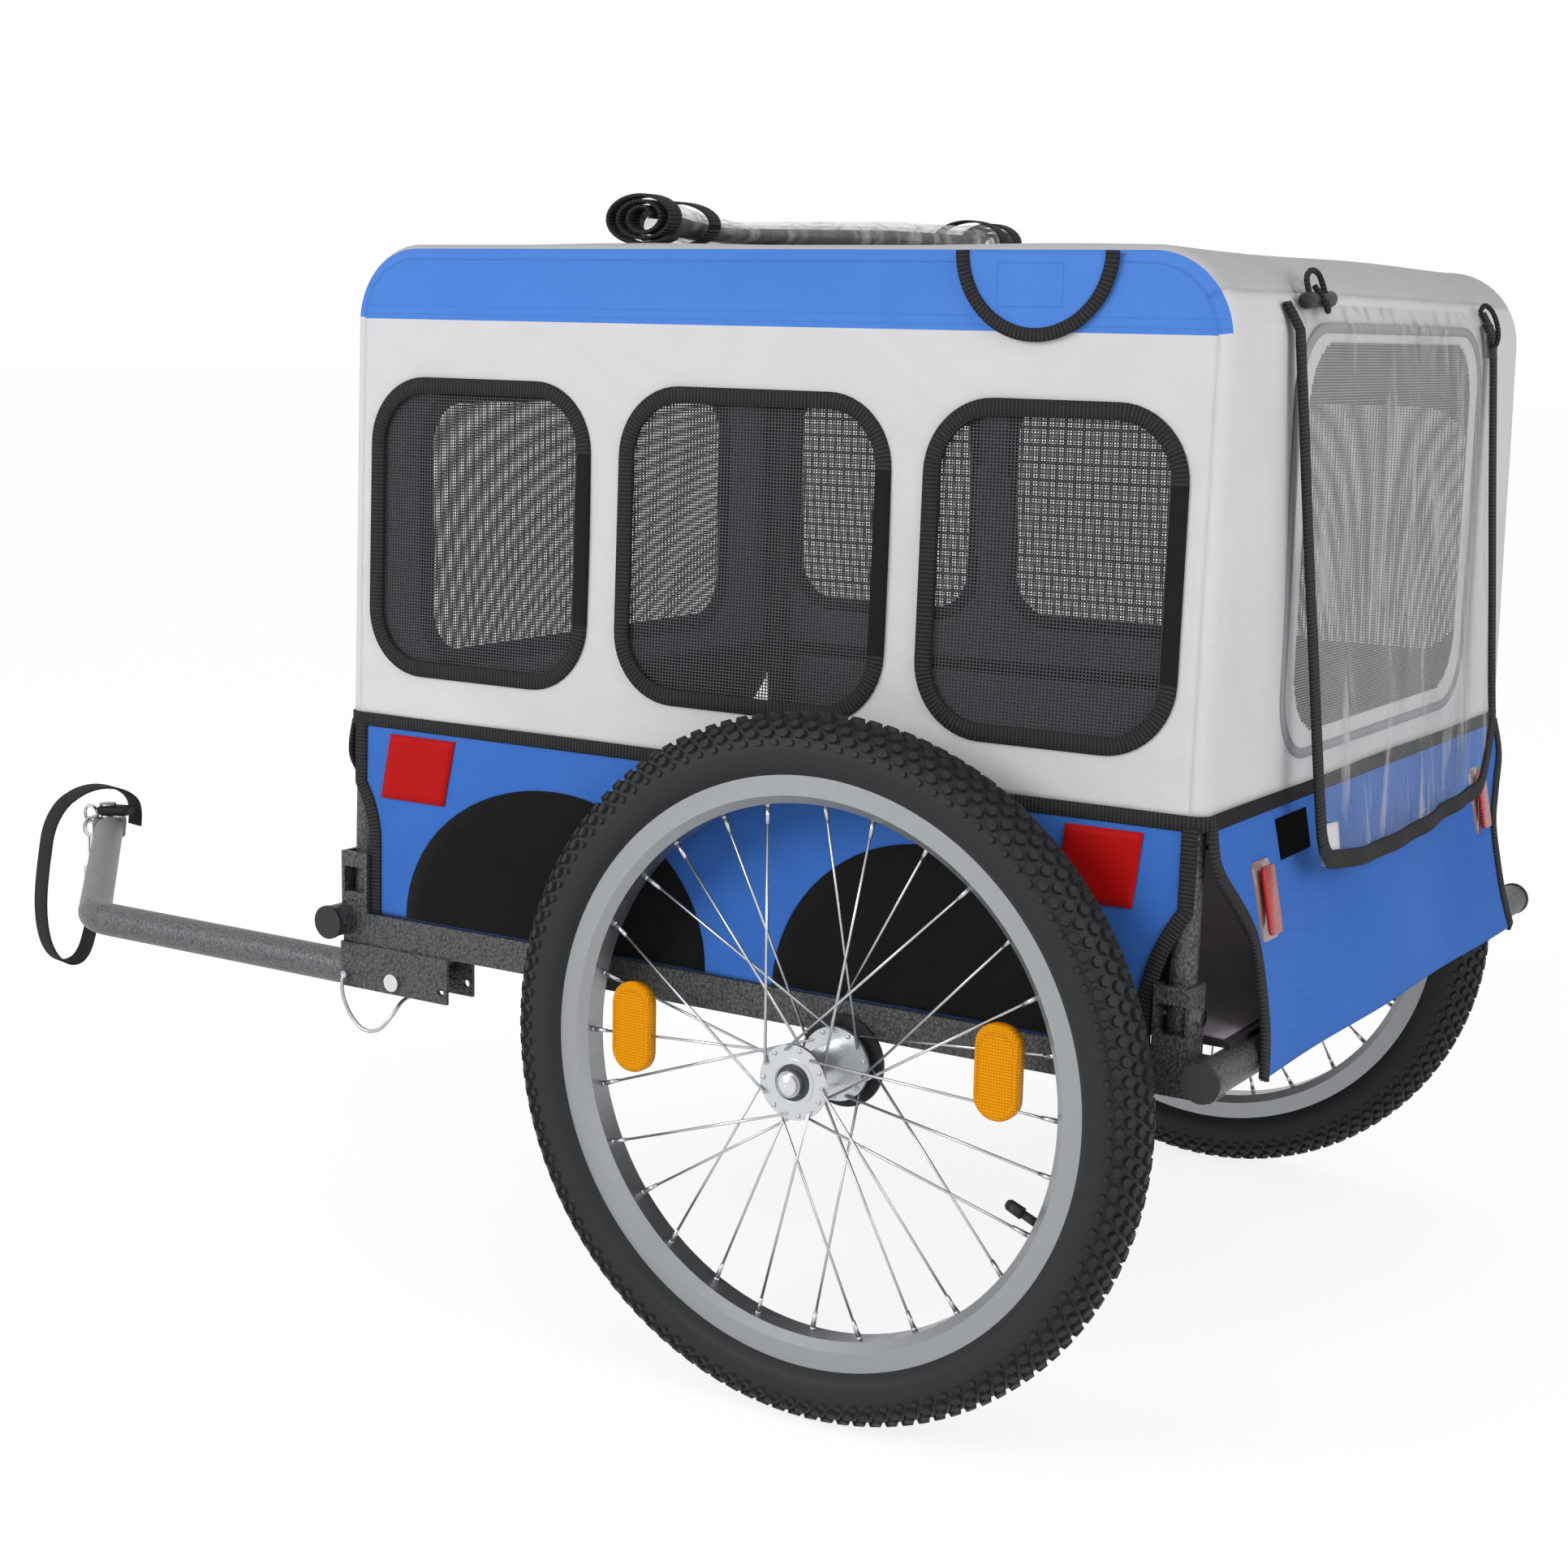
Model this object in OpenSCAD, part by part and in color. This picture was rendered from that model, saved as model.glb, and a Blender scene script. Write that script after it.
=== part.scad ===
// Two-wheeled folding pet trailer: steel base, two fold-in side hoops, sewn cover, drawbar with a safety strap.
// Millimetres. +X is the rear, -X the drawbar, -Y the left side, +Z up. Modules are drawn about the axle and
// on_axle() moves them so that the origin is the middle of the footprint, on the ground.

/* [Wheels] */
// Radius over the tyre tread
wheel_r = 250; // [240:1:260]
// Width of the tyre's section
tyre_w = 48; // [40:1:54]
// Wall of the tyre's casing
tyre_wall = 3; // [2:0.5:4]
// How far the tyre's beads sit inside the rim's edge
bead_depth = 9; // [7:1:12]
// Radial depth of the rim
rim_depth = 22; // [16:1:26]
// Width of the rim
rim_w = 30; // [26:1:34]
// Distance from the middle of the trailer to a wheel's middle plane
wheel_y = 357; // [355:1:370]
// Number of spokes in a wheel, a multiple of four
spoke_count = 28; // [20:4:36]
// Diameter of a spoke
spoke_d = 2; // [1.8:0.1:2.3]
// Radius of a hub flange
flange_r = 26.5; // [25:0.5:30]
// Hub flange planes, outboard and inboard of the wheel's middle plane
flange_out = 29.5; // [27:0.5:32]
flange_in = 26; // [24:0.5:28]
// Diameter of the push-button axle
axle_d = 12; // [10:0.5:13]
// Outer diameter of a hub bearing
bearing_d = 28; // [26:1:30]
// Oval spoke reflector, long and short size
reflector_l = 66; // [56:1:72]
reflector_w = 33; // [28:1:38]

/* [Base frame] */
// Front and rear cross tubes, distance from the axle
front_tube_x = 465; // [455:1:480]
rear_tube_x = 275; // [268:1:290]
// Diameter of the cross tubes
cross_d = 25; // [22:1:26]
// Height of the cross tubes' middle above the axle
cross_rise = 36; // [34:1:40]
// Half the length of a cross tube
cross_half = 336; // [328:1:345]
// Side rails, square size
rail_s = 25; // [22:1:28]
// Outer face of a side rail from the middle
rail_y = 320; // [316:1:324]
// Rail top above the axle
rail_rise = 43; // [42:1:46]
// Tube walls
tube_wall = 1.5; // [1.2:0.1:2]

/* [Folding hoops] */
// Diameter of the hoop tube
hoop_d = 19; // [16:1:20]
// Front and rear hoop legs, distance from the axle
hoop_front_x = 453.5; // [450:1:458]
hoop_rear_x = 244.5; // [240:0.5:248]
// Pivot bolts above the rail top
pivot_rise = 26; // [22:1:30]
// Width, depth and height of a hinge bracket
bracket_w = 26; // [24:1:28]
bracket_depth = 25; // [22:1:27]
bracket_h = 48; // [44:1:54]
// Plate thickness of the brackets
plate_t = 3; // [2:0.5:3]
// Diameter of the pivot bolts
pivot_d = 6; // [5:0.5:8]

/* [Cover] */
// Top of the roof above the axle
roof_rise = 562; // [540:1:580]
// Waist seam above the axle
waist_rise = 195; // [185:1:205]
// Rear skirt reflectors, width and height
rear_reflector_w = 30; // [26:1:34]
rear_reflector_h = 54; // [48:1:60]
// Height of the waist binding
waist_h = 13; // [10:1:16]
// How far the cover's waist stands in from the side rail's outer face
cover_in = 9; // [8:0.5:11]
// How far the cover leans in on each side, from the waist to the top corners
cover_lean = 9.5; // [8:0.5:12]
// Front and rear faces of the cover, distance from the axle
cover_front = 465.5; // [465:0.5:470]
cover_rear = 258.5; // [257:0.5:262]
// Radius of the cover's top corners, seen from the side, and of its long edges
top_corner_r = 60; // [50:1:70]
edge_r = 12; // [8:1:14]
// Thickness of the sewn cloth
cloth = 1.6; // [1:0.1:2]
// Bottom and top of the side windows above the axle
window_low = 236; // [225:1:245]
window_high = 462; // [450:1:470]
// Radius of the window corners and width of their binding
window_r = 50; // [40:1:60]
binding_w = 15; // [12:1:18]
// Rear doorway, half width, bottom and top above the axle
door_half = 185; // [170:1:200]
door_low = 232; // [225:1:245]
door_high = 505; // [490:1:515]

/* [Drawbar] */
// Diameter of the drawbar tube
bar_d = 28; // [26:1:30]
// Height of its axis under the axle
bar_drop = 8; // [6:1:12]
// Drawbar axis from the middle
bar_y = 305; // [303:1:307]
// Pivot bolt, from the axle
bar_pivot_x = 412; // [408:1:416]
// Lock pin's distance in front of the pivot, and the spare hole's behind it
pin_offset = 48; // [44:1:52]
// Bend of the drawbar, from the axle
bar_bend_x = 765; // [755:1:780]
// Radius of the bend
bar_bend_r = 50; // [45:1:70]
// Diameter of the lock pin
pin_d = 6; // [5:0.5:7]
// Diameter of the hitch bolt
hitch_d = 10; // [8:1:12]
// Width and thickness of the safety strap's webbing
strap_w = 25; // [20:1:30]
strap_t = 2; // [1.5:0.5:2.5]

/* [Hidden] */
$fn = 48;
// clearances
run_fit = 0.05;
seat_gap = 0.3;
loose_gap = 0.5;
// the rim's edge follows from the tyre's size
rim_r = wheel_r - tyre_w + bead_depth;
// heights
axle_z = wheel_r;
rail_top = axle_z + rail_rise;
cross_z = axle_z + cross_rise;
cross_r = cross_d / 2;
cap_r = cross_r + 0.8;
cap_t = 3;
waist_z = axle_z + waist_rise;
waist_top = waist_z + waist_h;
roof_z = axle_z + roof_rise;
pivot_z = rail_top + pivot_rise;
bar_z = axle_z - bar_drop;
// the cover leans in as it rises: half its width at any height
cover_half_low = rail_y - cover_in;
lean_run = roof_z - top_corner_r - waist_z;
lean_slope = cover_lean / lean_run;
lean = atan(lean_slope);
function cover_half(z) = cover_half_low - (z - waist_z) * lean_slope;
// the hoop runs inside the cloth, a seat gap in from it
hoop_r = hoop_d / 2;
hoop_inset = cloth + seat_gap + hoop_r;
function hoop_y(z) = cover_half(z) - hoop_inset / cos(lean);
hoop_top = roof_z - hoop_inset;
pivot_y = hoop_y(pivot_z);
hoop_bend_r = top_corner_r - hoop_inset;
// drawbar, hitch and the origin
bar_r = bar_d / 2;
channel_gap = bar_d + 0.6;
hitch_x = bar_bend_x + bar_y;
tongue_t = 8;
clamp_x = 34;
ring_r = 9;
ring_wire = 2;
ring_out = 27.4;
ring_z = bar_z + tongue_t / 2 + 1;
eye_r = 9;
eye_wire = 2.4;
eye_drop = eye_r - ring_wire - eye_wire + seat_gap;
bolt_r = 1.7;
shackle_reach = ring_out + ring_r + ring_wire;
front_reach = hitch_x + shackle_reach;
// end skirts hang from the waist, over the cross tubes
skirt_h = waist_z - cross_z + 13;
function skirt_splay(face, over) = atan((over + 2 * seat_gap - face) / (waist_z - cross_z));
rear_face = cover_rear - cloth;
rear_splay = skirt_splay(rear_face, rear_tube_x + cross_d / 2);
rear_reach = rear_face + skirt_h * sin(rear_splay) + cloth * cos(rear_splay);
axle_x = (front_reach - rear_reach) / 2;
// cuts between the cover's panels
side_front = cover_front - 10;
side_rear = cover_rear - 6.5;
roof_cut = roof_z - 27;
// side windows: front edge and length, from the axle
windows = [[-443, 206], [-209, 224], [42, 190]];
// rear doorway hinge, on the curve at the top of the rear face
door_t = 1;
door_lap = 8;
door_hinge_z = axle_z + door_high + door_lap;
door_hinge_x = cover_rear + seat_gap + door_t / 2;
cover_hinge_z = door_hinge_z + 15.5;
cover_hinge_x = cover_rear - 4.9;
hem_r = 1.5;
cover_low = axle_z + 138;
cover_out = 30;
big = 900;
hull_fn = 32;

module on_axle() { translate([axle_x, 0, 0]) children(); }
module both_sides() { children(); mirror([0, 1, 0]) children(); }
module along_y(length, radius) { rotate([90, 0, 0]) cylinder(h = length, r = radius, center = true); }
module along_x(length, radius) { rotate([0, 90, 0]) cylinder(h = length, r = radius, center = true); }
module rounded_rect(w, h, r) {
    square([w - 2 * r, h], center = true);
    square([w, h - 2 * r], center = true);
    for (x = [-1, 1], y = [-1, 1]) translate([x * (w / 2 - r), y * (h / 2 - r)]) circle(r);
}

// ---- base frame ----
module cross_tube(x) {
    on_axle() color("dimgray") translate([x, 0, cross_z]) difference() {
        along_y(2 * cross_half, cross_r);
        along_y(2 * cross_half + 2, cross_r - tube_wall);
    }
}
module front_cross_tube() { cross_tube(-front_tube_x); }
module rear_cross_tube() { cross_tube(rear_tube_x); }
module side_rail() {
    length = front_tube_x + rear_tube_x;
    on_axle() color("dimgray") difference() {
        translate([-front_tube_x, -rail_y, rail_top - rail_s]) cube([length, rail_s, rail_s]);
        translate([-front_tube_x - 1, tube_wall - rail_y, rail_top - rail_s + tube_wall])
            cube([length + 2, rail_s - 2 * tube_wall, rail_s - 2 * tube_wall]);
        // the ends are coped to the round cross tubes
        for (x = [-front_tube_x, rear_tube_x]) translate([x, -rail_y, cross_z]) along_y(3 * rail_s, cross_r);
    }
}
module left_side_rail() { side_rail(); }
module right_side_rail() { mirror([0, 1, 0]) side_rail(); }
module axle_crossbar() {
    inner = rail_y - rail_s;
    on_axle() color("dimgray") translate([0, 0, rail_top - rail_s / 2]) difference() {
        cube([rail_s, 2 * inner, rail_s - 2], center = true);
        cube([rail_s - 2 * tube_wall, 2 * inner + 2, rail_s - 2 - 2 * tube_wall], center = true);
    }
}
module tube_end_caps() {
    plug = 14;
    on_axle() color([0.14, 0.14, 0.15]) both_sides() for (x = [-front_tube_x, rear_tube_x])
        translate([x, -cross_half, cross_z]) {
            translate([0, -cap_t / 2, 0]) along_y(cap_t, cap_r);
            translate([0, plug / 2, 0]) along_y(plug, cross_r - tube_wall - run_fit);
        }
}
module axle_receiver() {
    receiver_r = 12.5;
    receiver_l = 26;
    rail_low = rail_top - rail_s;
    on_axle() color("dimgray") translate([0, -rail_y, 0]) difference() {
        union() {
            translate([0, receiver_l / 2, axle_z]) along_y(receiver_l, receiver_r);
            translate([-receiver_r, 1, axle_z + 4]) cube([2 * receiver_r, rail_s - 2, rail_low - axle_z - 4]);
        }
        translate([0, receiver_l / 2, axle_z]) along_y(receiver_l + 2, axle_d / 2 + run_fit);
    }
}
module left_axle_receiver() { axle_receiver(); }
module right_axle_receiver() { mirror([0, 1, 0]) axle_receiver(); }
module axle_guard_discs() {
    disc_r = 33;
    disc_t = 3;
    on_axle() color([0.12, 0.12, 0.12]) both_sides() translate([0, -rail_y - disc_t / 2, axle_z]) difference() {
        along_y(disc_t, disc_r);
        along_y(disc_t + 2, axle_d / 2 + seat_gap);
    }
}

// ---- hoop hinges ----
module hinge_bracket(x) {
    window_h = 20;
    inner_w = bracket_w - 2 * plate_t;
    on_axle() color("dimgray") difference() {
        translate([x - bracket_w / 2, -rail_y, rail_top]) cube([bracket_w, bracket_depth, bracket_h]);
        translate([x - inner_w / 2, plate_t - rail_y, rail_top - 1]) cube([inner_w, bracket_depth, bracket_h + 2]);
        translate([x - inner_w / 2, -rail_y - 1, pivot_z - window_h / 2]) cube([inner_w, plate_t + 2, window_h]);
        translate([x, -pivot_y, pivot_z]) along_x(bracket_w + 2, pivot_d / 2 + run_fit);
        for (tube = [-front_tube_x, rear_tube_x]) translate([tube, -rail_y, cross_z]) along_y(3 * rail_s, cross_r);
    }
}
module left_front_hinge_bracket() { hinge_bracket(-hoop_front_x); }
module left_rear_hinge_bracket() { hinge_bracket(hoop_rear_x); }
module right_front_hinge_bracket() { mirror([0, 1, 0]) hinge_bracket(-hoop_front_x); }
module right_rear_hinge_bracket() { mirror([0, 1, 0]) hinge_bracket(hoop_rear_x); }
module hoop_pivot_bolts() {
    head_t = 3;
    head_r = pivot_d / 2 + 2.5;
    on_axle() color("silver") both_sides() for (x = [-hoop_front_x, hoop_rear_x])
        translate([x, -pivot_y, pivot_z]) {
            along_x(bracket_w + 2 * run_fit, pivot_d / 2);
            for (s = [-1, 1]) translate([s * (bracket_w + head_t) / 2 + s * run_fit, 0, 0]) along_x(head_t, head_r);
        }
}
module hoop_path(radius, over) {
    // one leg, bend and half the top bar, doubled about the hoop's middle
    middle = (hoop_rear_x - hoop_front_x) / 2;
    half = (hoop_rear_x + hoop_front_x) / 2;
    leg_low = pivot_z - 12 - over;
    rise = (hoop_top - pivot_z) / cos(lean);
    translate([0, -pivot_y, pivot_z]) rotate([-lean, 0, 0]) translate([middle, 0, 0])
        for (s = [0, 1]) mirror([s, 0, 0]) {
            translate([half, 0, leg_low - pivot_z]) cylinder(h = rise - hoop_bend_r + pivot_z - leg_low, r = radius);
            translate([half - hoop_bend_r, 0, rise - hoop_bend_r]) rotate([90, 0, 0])
                rotate_extrude(angle = 90) translate([hoop_bend_r, 0]) circle(radius);
            translate([-over / 9, 0, rise]) rotate([0, 90, 0]) cylinder(h = half - hoop_bend_r + over / 9, r = radius);
        }
}
module hoop() {
    on_axle() color("dimgray") difference() {
        hoop_path(hoop_r, 0);
        hoop_path(hoop_r - tube_wall, 1);
        for (x = [-hoop_front_x, hoop_rear_x]) translate([x, -pivot_y, pivot_z]) along_x(2 * hoop_d, pivot_d / 2 + run_fit);
    }
}
module left_hoop() { hoop(); }
module right_hoop() { mirror([0, 1, 0]) hoop(); }

// ---- drawbar bracket ----
module drawbar_bracket() {
    end_reach = 54;
    web_t = plate_t;
    low = bar_z - 10;
    high = rail_top - rail_s;
    outer = channel_gap + 2 * plate_t;
    on_axle() color("dimgray") translate([-bar_pivot_x, -bar_y, 0]) difference() {
        translate([-end_reach, -outer / 2, low]) cube([2 * end_reach, outer, high - low]);
        translate([-end_reach - 1, -channel_gap / 2, low - 1]) cube([2 * end_reach + 2, channel_gap, high - low + 1 - web_t]);
        translate([0, 0, bar_z]) along_y(outer + 2, pivot_d / 2 + 1 + run_fit);
        for (s = [-1, 1]) translate([s * pin_offset, 0, bar_z]) along_y(outer + 2, pin_d / 2 + run_fit);
    }
}
module drawbar_pivot_bolt() {
    outer = channel_gap + 2 * plate_t;
    bolt_r = pivot_d / 2 + 1;
    head_t = 3;
    on_axle() color("silver") translate([-bar_pivot_x, -bar_y, bar_z]) {
        along_y(outer + 2 * run_fit, bolt_r);
        for (s = [-1, 1]) translate([0, s * (outer / 2 + run_fit + head_t / 2), 0]) along_y(head_t, bolt_r + 3);
    }
}

// ---- floor ----
module floor_board() {
    board_t = 4;
    edge = 3;
    on_axle() color([0.3, 0.3, 0.32])
        translate([-front_tube_x, edge + rail_s - rail_y, cross_z + cross_r])
        cube([front_tube_x + rear_tube_x, 2 * (rail_y - rail_s - edge), board_t]);
}
module floor_liner() {
    board_t = 4;
    liner_t = 2;
    edge = 4;
    on_axle() color([0.55, 0.52, 0.56])
        translate([edge - front_tube_x, edge + rail_s - rail_y, cross_z + cross_r + board_t])
        cube([front_tube_x + rear_tube_x - 2 * edge, 2 * (rail_y - rail_s - edge), liner_t]);
}

// ---- sewn cover ----
// Outer form of the cover, drawn in by inset, from z = low to the roof
module cover_form(inset, low) {
    r = edge_r - inset;
    top = roof_z - top_corner_r;
    half_top = cover_half(top) - edge_r;
    half_low = cover_half(low) - edge_r;
    $fn = hull_fn;
    hull() for (sx = [0, 1], sy = [-1, 1]) {
        face = sx == 0 ? -cover_front : cover_rear;
        dir = sx == 0 ? 1 : -1;
        translate([face + dir * edge_r, sy * half_low, low]) cylinder(h = 1, r = r);
        translate([face + dir * top_corner_r, sy * half_top, top]) rotate([90, 0, 0])
            mirror([1 - sx, 0, 0]) rotate_extrude(angle = 90) translate([top_corner_r - edge_r, 0]) circle(r);
    }
}
module cover_shell(low) {
    difference() {
        cover_form(0, low);
        cover_form(cloth, low - 2);
    }
}
module slab(x0, x1, y0, y1, z0, z1) { translate([x0, y0, z0]) cube([x1 - x0, y1 - y0, z1 - z0]); }
module window_hole(x, length, z0, z1, r, y0, y1) {
    translate([x + length / 2, y1, (z0 + z1) / 2]) rotate([90, 0, 0]) linear_extrude(y1 - y0)
        rounded_rect(length, z1 - z0, r);
}
module side_panel() {
    on_axle() color([0.8, 0.8, 0.81]) difference() {
        intersection() {
            cover_shell(waist_z);
            slab(-side_front, side_rear, -big, edge_r - cover_half(roof_cut), waist_top + loose_gap, roof_cut - loose_gap);
        }
        for (w = windows) window_hole(w[0] + binding_w / 2, w[1] - binding_w,
            axle_z + window_low + binding_w / 2, axle_z + window_high - binding_w / 2,
            window_r - binding_w / 2, -big, 0);
    }
}
module left_side_panel() { side_panel(); }
module right_side_panel() { mirror([0, 1, 0]) side_panel(); }
module window_meshes() {
    mesh_t = 0.8;
    low = axle_z + window_low;
    high = axle_z + window_high;
    on_axle() color([0.2, 0.2, 0.21]) for (w = windows)
        translate([0, -(cover_half(low) - (cloth + seat_gap) / cos(lean)), low]) rotate([-lean, 0, 0])
            window_hole(w[0], w[1], 0, high - low, window_r, 0, mesh_t);
}
module left_window_meshes() { window_meshes(); }
module right_window_meshes() { mirror([0, 1, 0]) window_meshes(); }
front_window_half = 225;
module front_panel() {
    on_axle() color([0.8, 0.8, 0.81]) difference() {
        intersection() {
            cover_shell(waist_z);
            slab(-big, -side_front - loose_gap, -big, big, waist_top + loose_gap, roof_cut - loose_gap);
        }
        translate([-cover_front, 0, axle_z + (window_low + window_high) / 2 - 10]) rotate([90, 0, 90])
            linear_extrude(4 * edge_r, center = true)
            rounded_rect(2 * front_window_half, window_high - window_low + 5, window_r);
    }
}
module front_window_mesh() {
    mesh_t = 0.8;
    on_axle() color([0.2, 0.2, 0.21])
        translate([-cover_front + cloth + seat_gap - 1, 0, axle_z + (window_low + window_high) / 2 - 10])
        rotate([90, 0, 90]) linear_extrude(mesh_t)
        rounded_rect(2 * front_window_half - 2, window_high - window_low + 3, window_r - 1);
}
module doorway(grow, depth) {
    height = door_high - door_low + 2 * grow;
    translate([0, 0, axle_z + (door_high + door_low) / 2]) rotate([90, 0, 90])
        linear_extrude(depth, center = true) rounded_rect(2 * (door_half + grow), height, 40 + grow);
}
module rear_panel() {
    on_axle() color([0.8, 0.8, 0.81]) difference() {
        intersection() {
            cover_shell(waist_z);
            slab(side_rear + loose_gap, big, -big, big, waist_top + loose_gap, roof_cut - loose_gap);
        }
        translate([cover_rear, 0, 0]) doorway(0, 4 * edge_r);
    }
}
roof_window = [-150, 110, 190];
module roof_panel() {
    on_axle() color([0.78, 0.78, 0.79]) difference() {
        intersection() {
            cover_shell(waist_z);
            slab(-big, big, -big, big, roof_cut, big);
        }
        slab(roof_window[0], roof_window[1], -roof_window[2], roof_window[2], roof_z - 3 * cloth, big);
    }
}
module roof_window_mesh() {
    mesh_t = 0.8;
    lap = 10;
    on_axle() color([0.2, 0.2, 0.21])
        slab(roof_window[0] - lap, roof_window[1] + lap, -roof_window[2] - lap, roof_window[2] + lap,
            roof_z - cloth - seat_gap - mesh_t, roof_z - cloth - seat_gap);
}
module roof_cover_roll() {
    roll_r = 19;
    front = -236;
    rear = -205;
    near_end = -288;
    far_end = 250;
    $fn = hull_fn;
    on_axle() color([0.75, 0.77, 0.78]) hull() for (x = [front, rear])
        translate([x, (near_end + far_end) / 2, roof_z + seat_gap + roll_r]) along_y(far_end - near_end, roll_r);
}
module roof_side_flap() {
    flap_r = 55;
    flap_x = 119;
    flap_z = roof_z - edge_r / 2;
    // the cover's side is one straight face from the waist to the roof's rounded edge
    side_slope = cover_lean / (roof_z - edge_r - waist_z);
    widest = cover_half_low - (flap_z - flap_r - waist_z - 1) * side_slope;
    on_axle() color([0.25, 0.42, 0.75]) translate([flap_x, -widest - seat_gap, flap_z])
        rotate([90, 0, 0]) linear_extrude(cloth) difference() {
            circle(flap_r);
            translate([-flap_r, 0]) square(2 * flap_r);
        }
}

// ---- skirts ----
skirt_low = rail_top + seat_gap;
// round cut-outs at both lower corners of a side skirt show the hinge brackets
module left_skirt() {
    front_r = 80;
    rear_r = 130;
    front_edge = 438;
    rear_edge = 226;
    front_cut_z = skirt_low + 56;
    on_axle() color([0.18, 0.36, 0.68]) difference() {
        intersection() {
            cover_shell(skirt_low - 4);
            slab(-side_front, side_rear, -big, 0, skirt_low, waist_z - seat_gap);
        }
        translate([-front_edge - front_r, -big / 2, front_cut_z]) along_y(big, front_r);
        slab(-front_edge - front_r, -front_edge, -big, 0, 0, front_cut_z);
        translate([rear_edge + rear_r, -big / 2, skirt_low + 20]) along_y(big, rear_r);
    }
}
module right_skirt() { mirror([0, 1, 0]) left_skirt(); }
// end skirts hang over the cross tubes, splayed outward, with their lower corners cut back
module end_skirt(face, splay) {
    high_half = cover_half_low - 2 * edge_r / 3;
    outline = [[high_half, 0], [high_half, -0.16 * skirt_h], [high_half - 0.24 * skirt_h, -0.47 * skirt_h],
        [high_half - 0.22 * skirt_h, -0.84 * skirt_h], [high_half - 0.15 * skirt_h, -skirt_h]];
    far_side = [for (i = [len(outline) - 1:-1:0]) [-outline[i][0], outline[i][1]]];
    translate([face, 0, waist_z - 2 * seat_gap]) rotate([0, -splay, 0]) rotate([90, 0, 90]) linear_extrude(cloth)
        polygon(concat(outline, far_side));
}
module rear_skirt() {
    on_axle() color([0.18, 0.36, 0.68]) end_skirt(rear_face, rear_splay);
}
module front_skirt() {
    face = cover_front - cloth;
    on_axle() color([0.18, 0.36, 0.68]) mirror([1, 0, 0]) end_skirt(face, skirt_splay(face, front_tube_x + cross_r));
}
module waist_binding() {
    on_axle() color([0.15, 0.15, 0.15]) intersection() {
        cover_shell(waist_z - 4);
        slab(-big, big, -big, big, waist_z, waist_top);
    }
}
module rear_reflectors() {
    inset = 77;
    depth = 9;
    on_axle() color([0.75, 0.05, 0.05]) translate([rear_face, 0, waist_z - 2 * seat_gap]) rotate([0, -rear_splay, 0])
        for (s = [-1, 1]) translate([cloth + seat_gap, s * (cover_half_low - inset), -0.34 * skirt_h])
            rotate([90, 0, 90]) linear_extrude(depth) rounded_rect(rear_reflector_w, rear_reflector_h, 6);
}

// ---- rear door ----
module rear_mesh_door() {
    on_axle() color([0.5, 0.5, 0.52]) {
        translate([door_hinge_x, 0, 0]) doorway(door_lap, door_t);
        translate([door_hinge_x, 0, door_hinge_z]) along_y(2 * door_half - 80, hem_r * 0.6);
    }
}
module rear_clear_cover() {
    half = 212;
    bend_x = cover_rear + 5;
    bend_z = door_hinge_z - 1;
    low_x = cover_rear + cover_out;
    on_axle() color([0.75, 0.78, 0.8, 0.6]) {
        rotate([90, 0, 0]) linear_extrude(2 * half, center = true) polygon([
            [cover_hinge_x, cover_hinge_z], [cover_hinge_x + cloth, cover_hinge_z],
            [bend_x + cloth, bend_z], [low_x + cloth, cover_low], [low_x, cover_low], [bend_x, bend_z]]);
        translate([cover_hinge_x + cloth / 2, 0, cover_hinge_z]) along_y(2 * half, hem_r);
    }
}
module rear_toggles() {
    toggle_r = 5;
    toggle_l = 32;
    slope = 42;
    out = top_corner_r + toggle_r + seat_gap;
    on_axle() color([0.1, 0.1, 0.1]) for (y = [-door_half, door_half - toggle_l - 2 * edge_r])
        translate([cover_rear - top_corner_r + out * cos(slope), y, roof_z - top_corner_r + out * sin(slope)])
        along_y(toggle_l, toggle_r);
}

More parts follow.
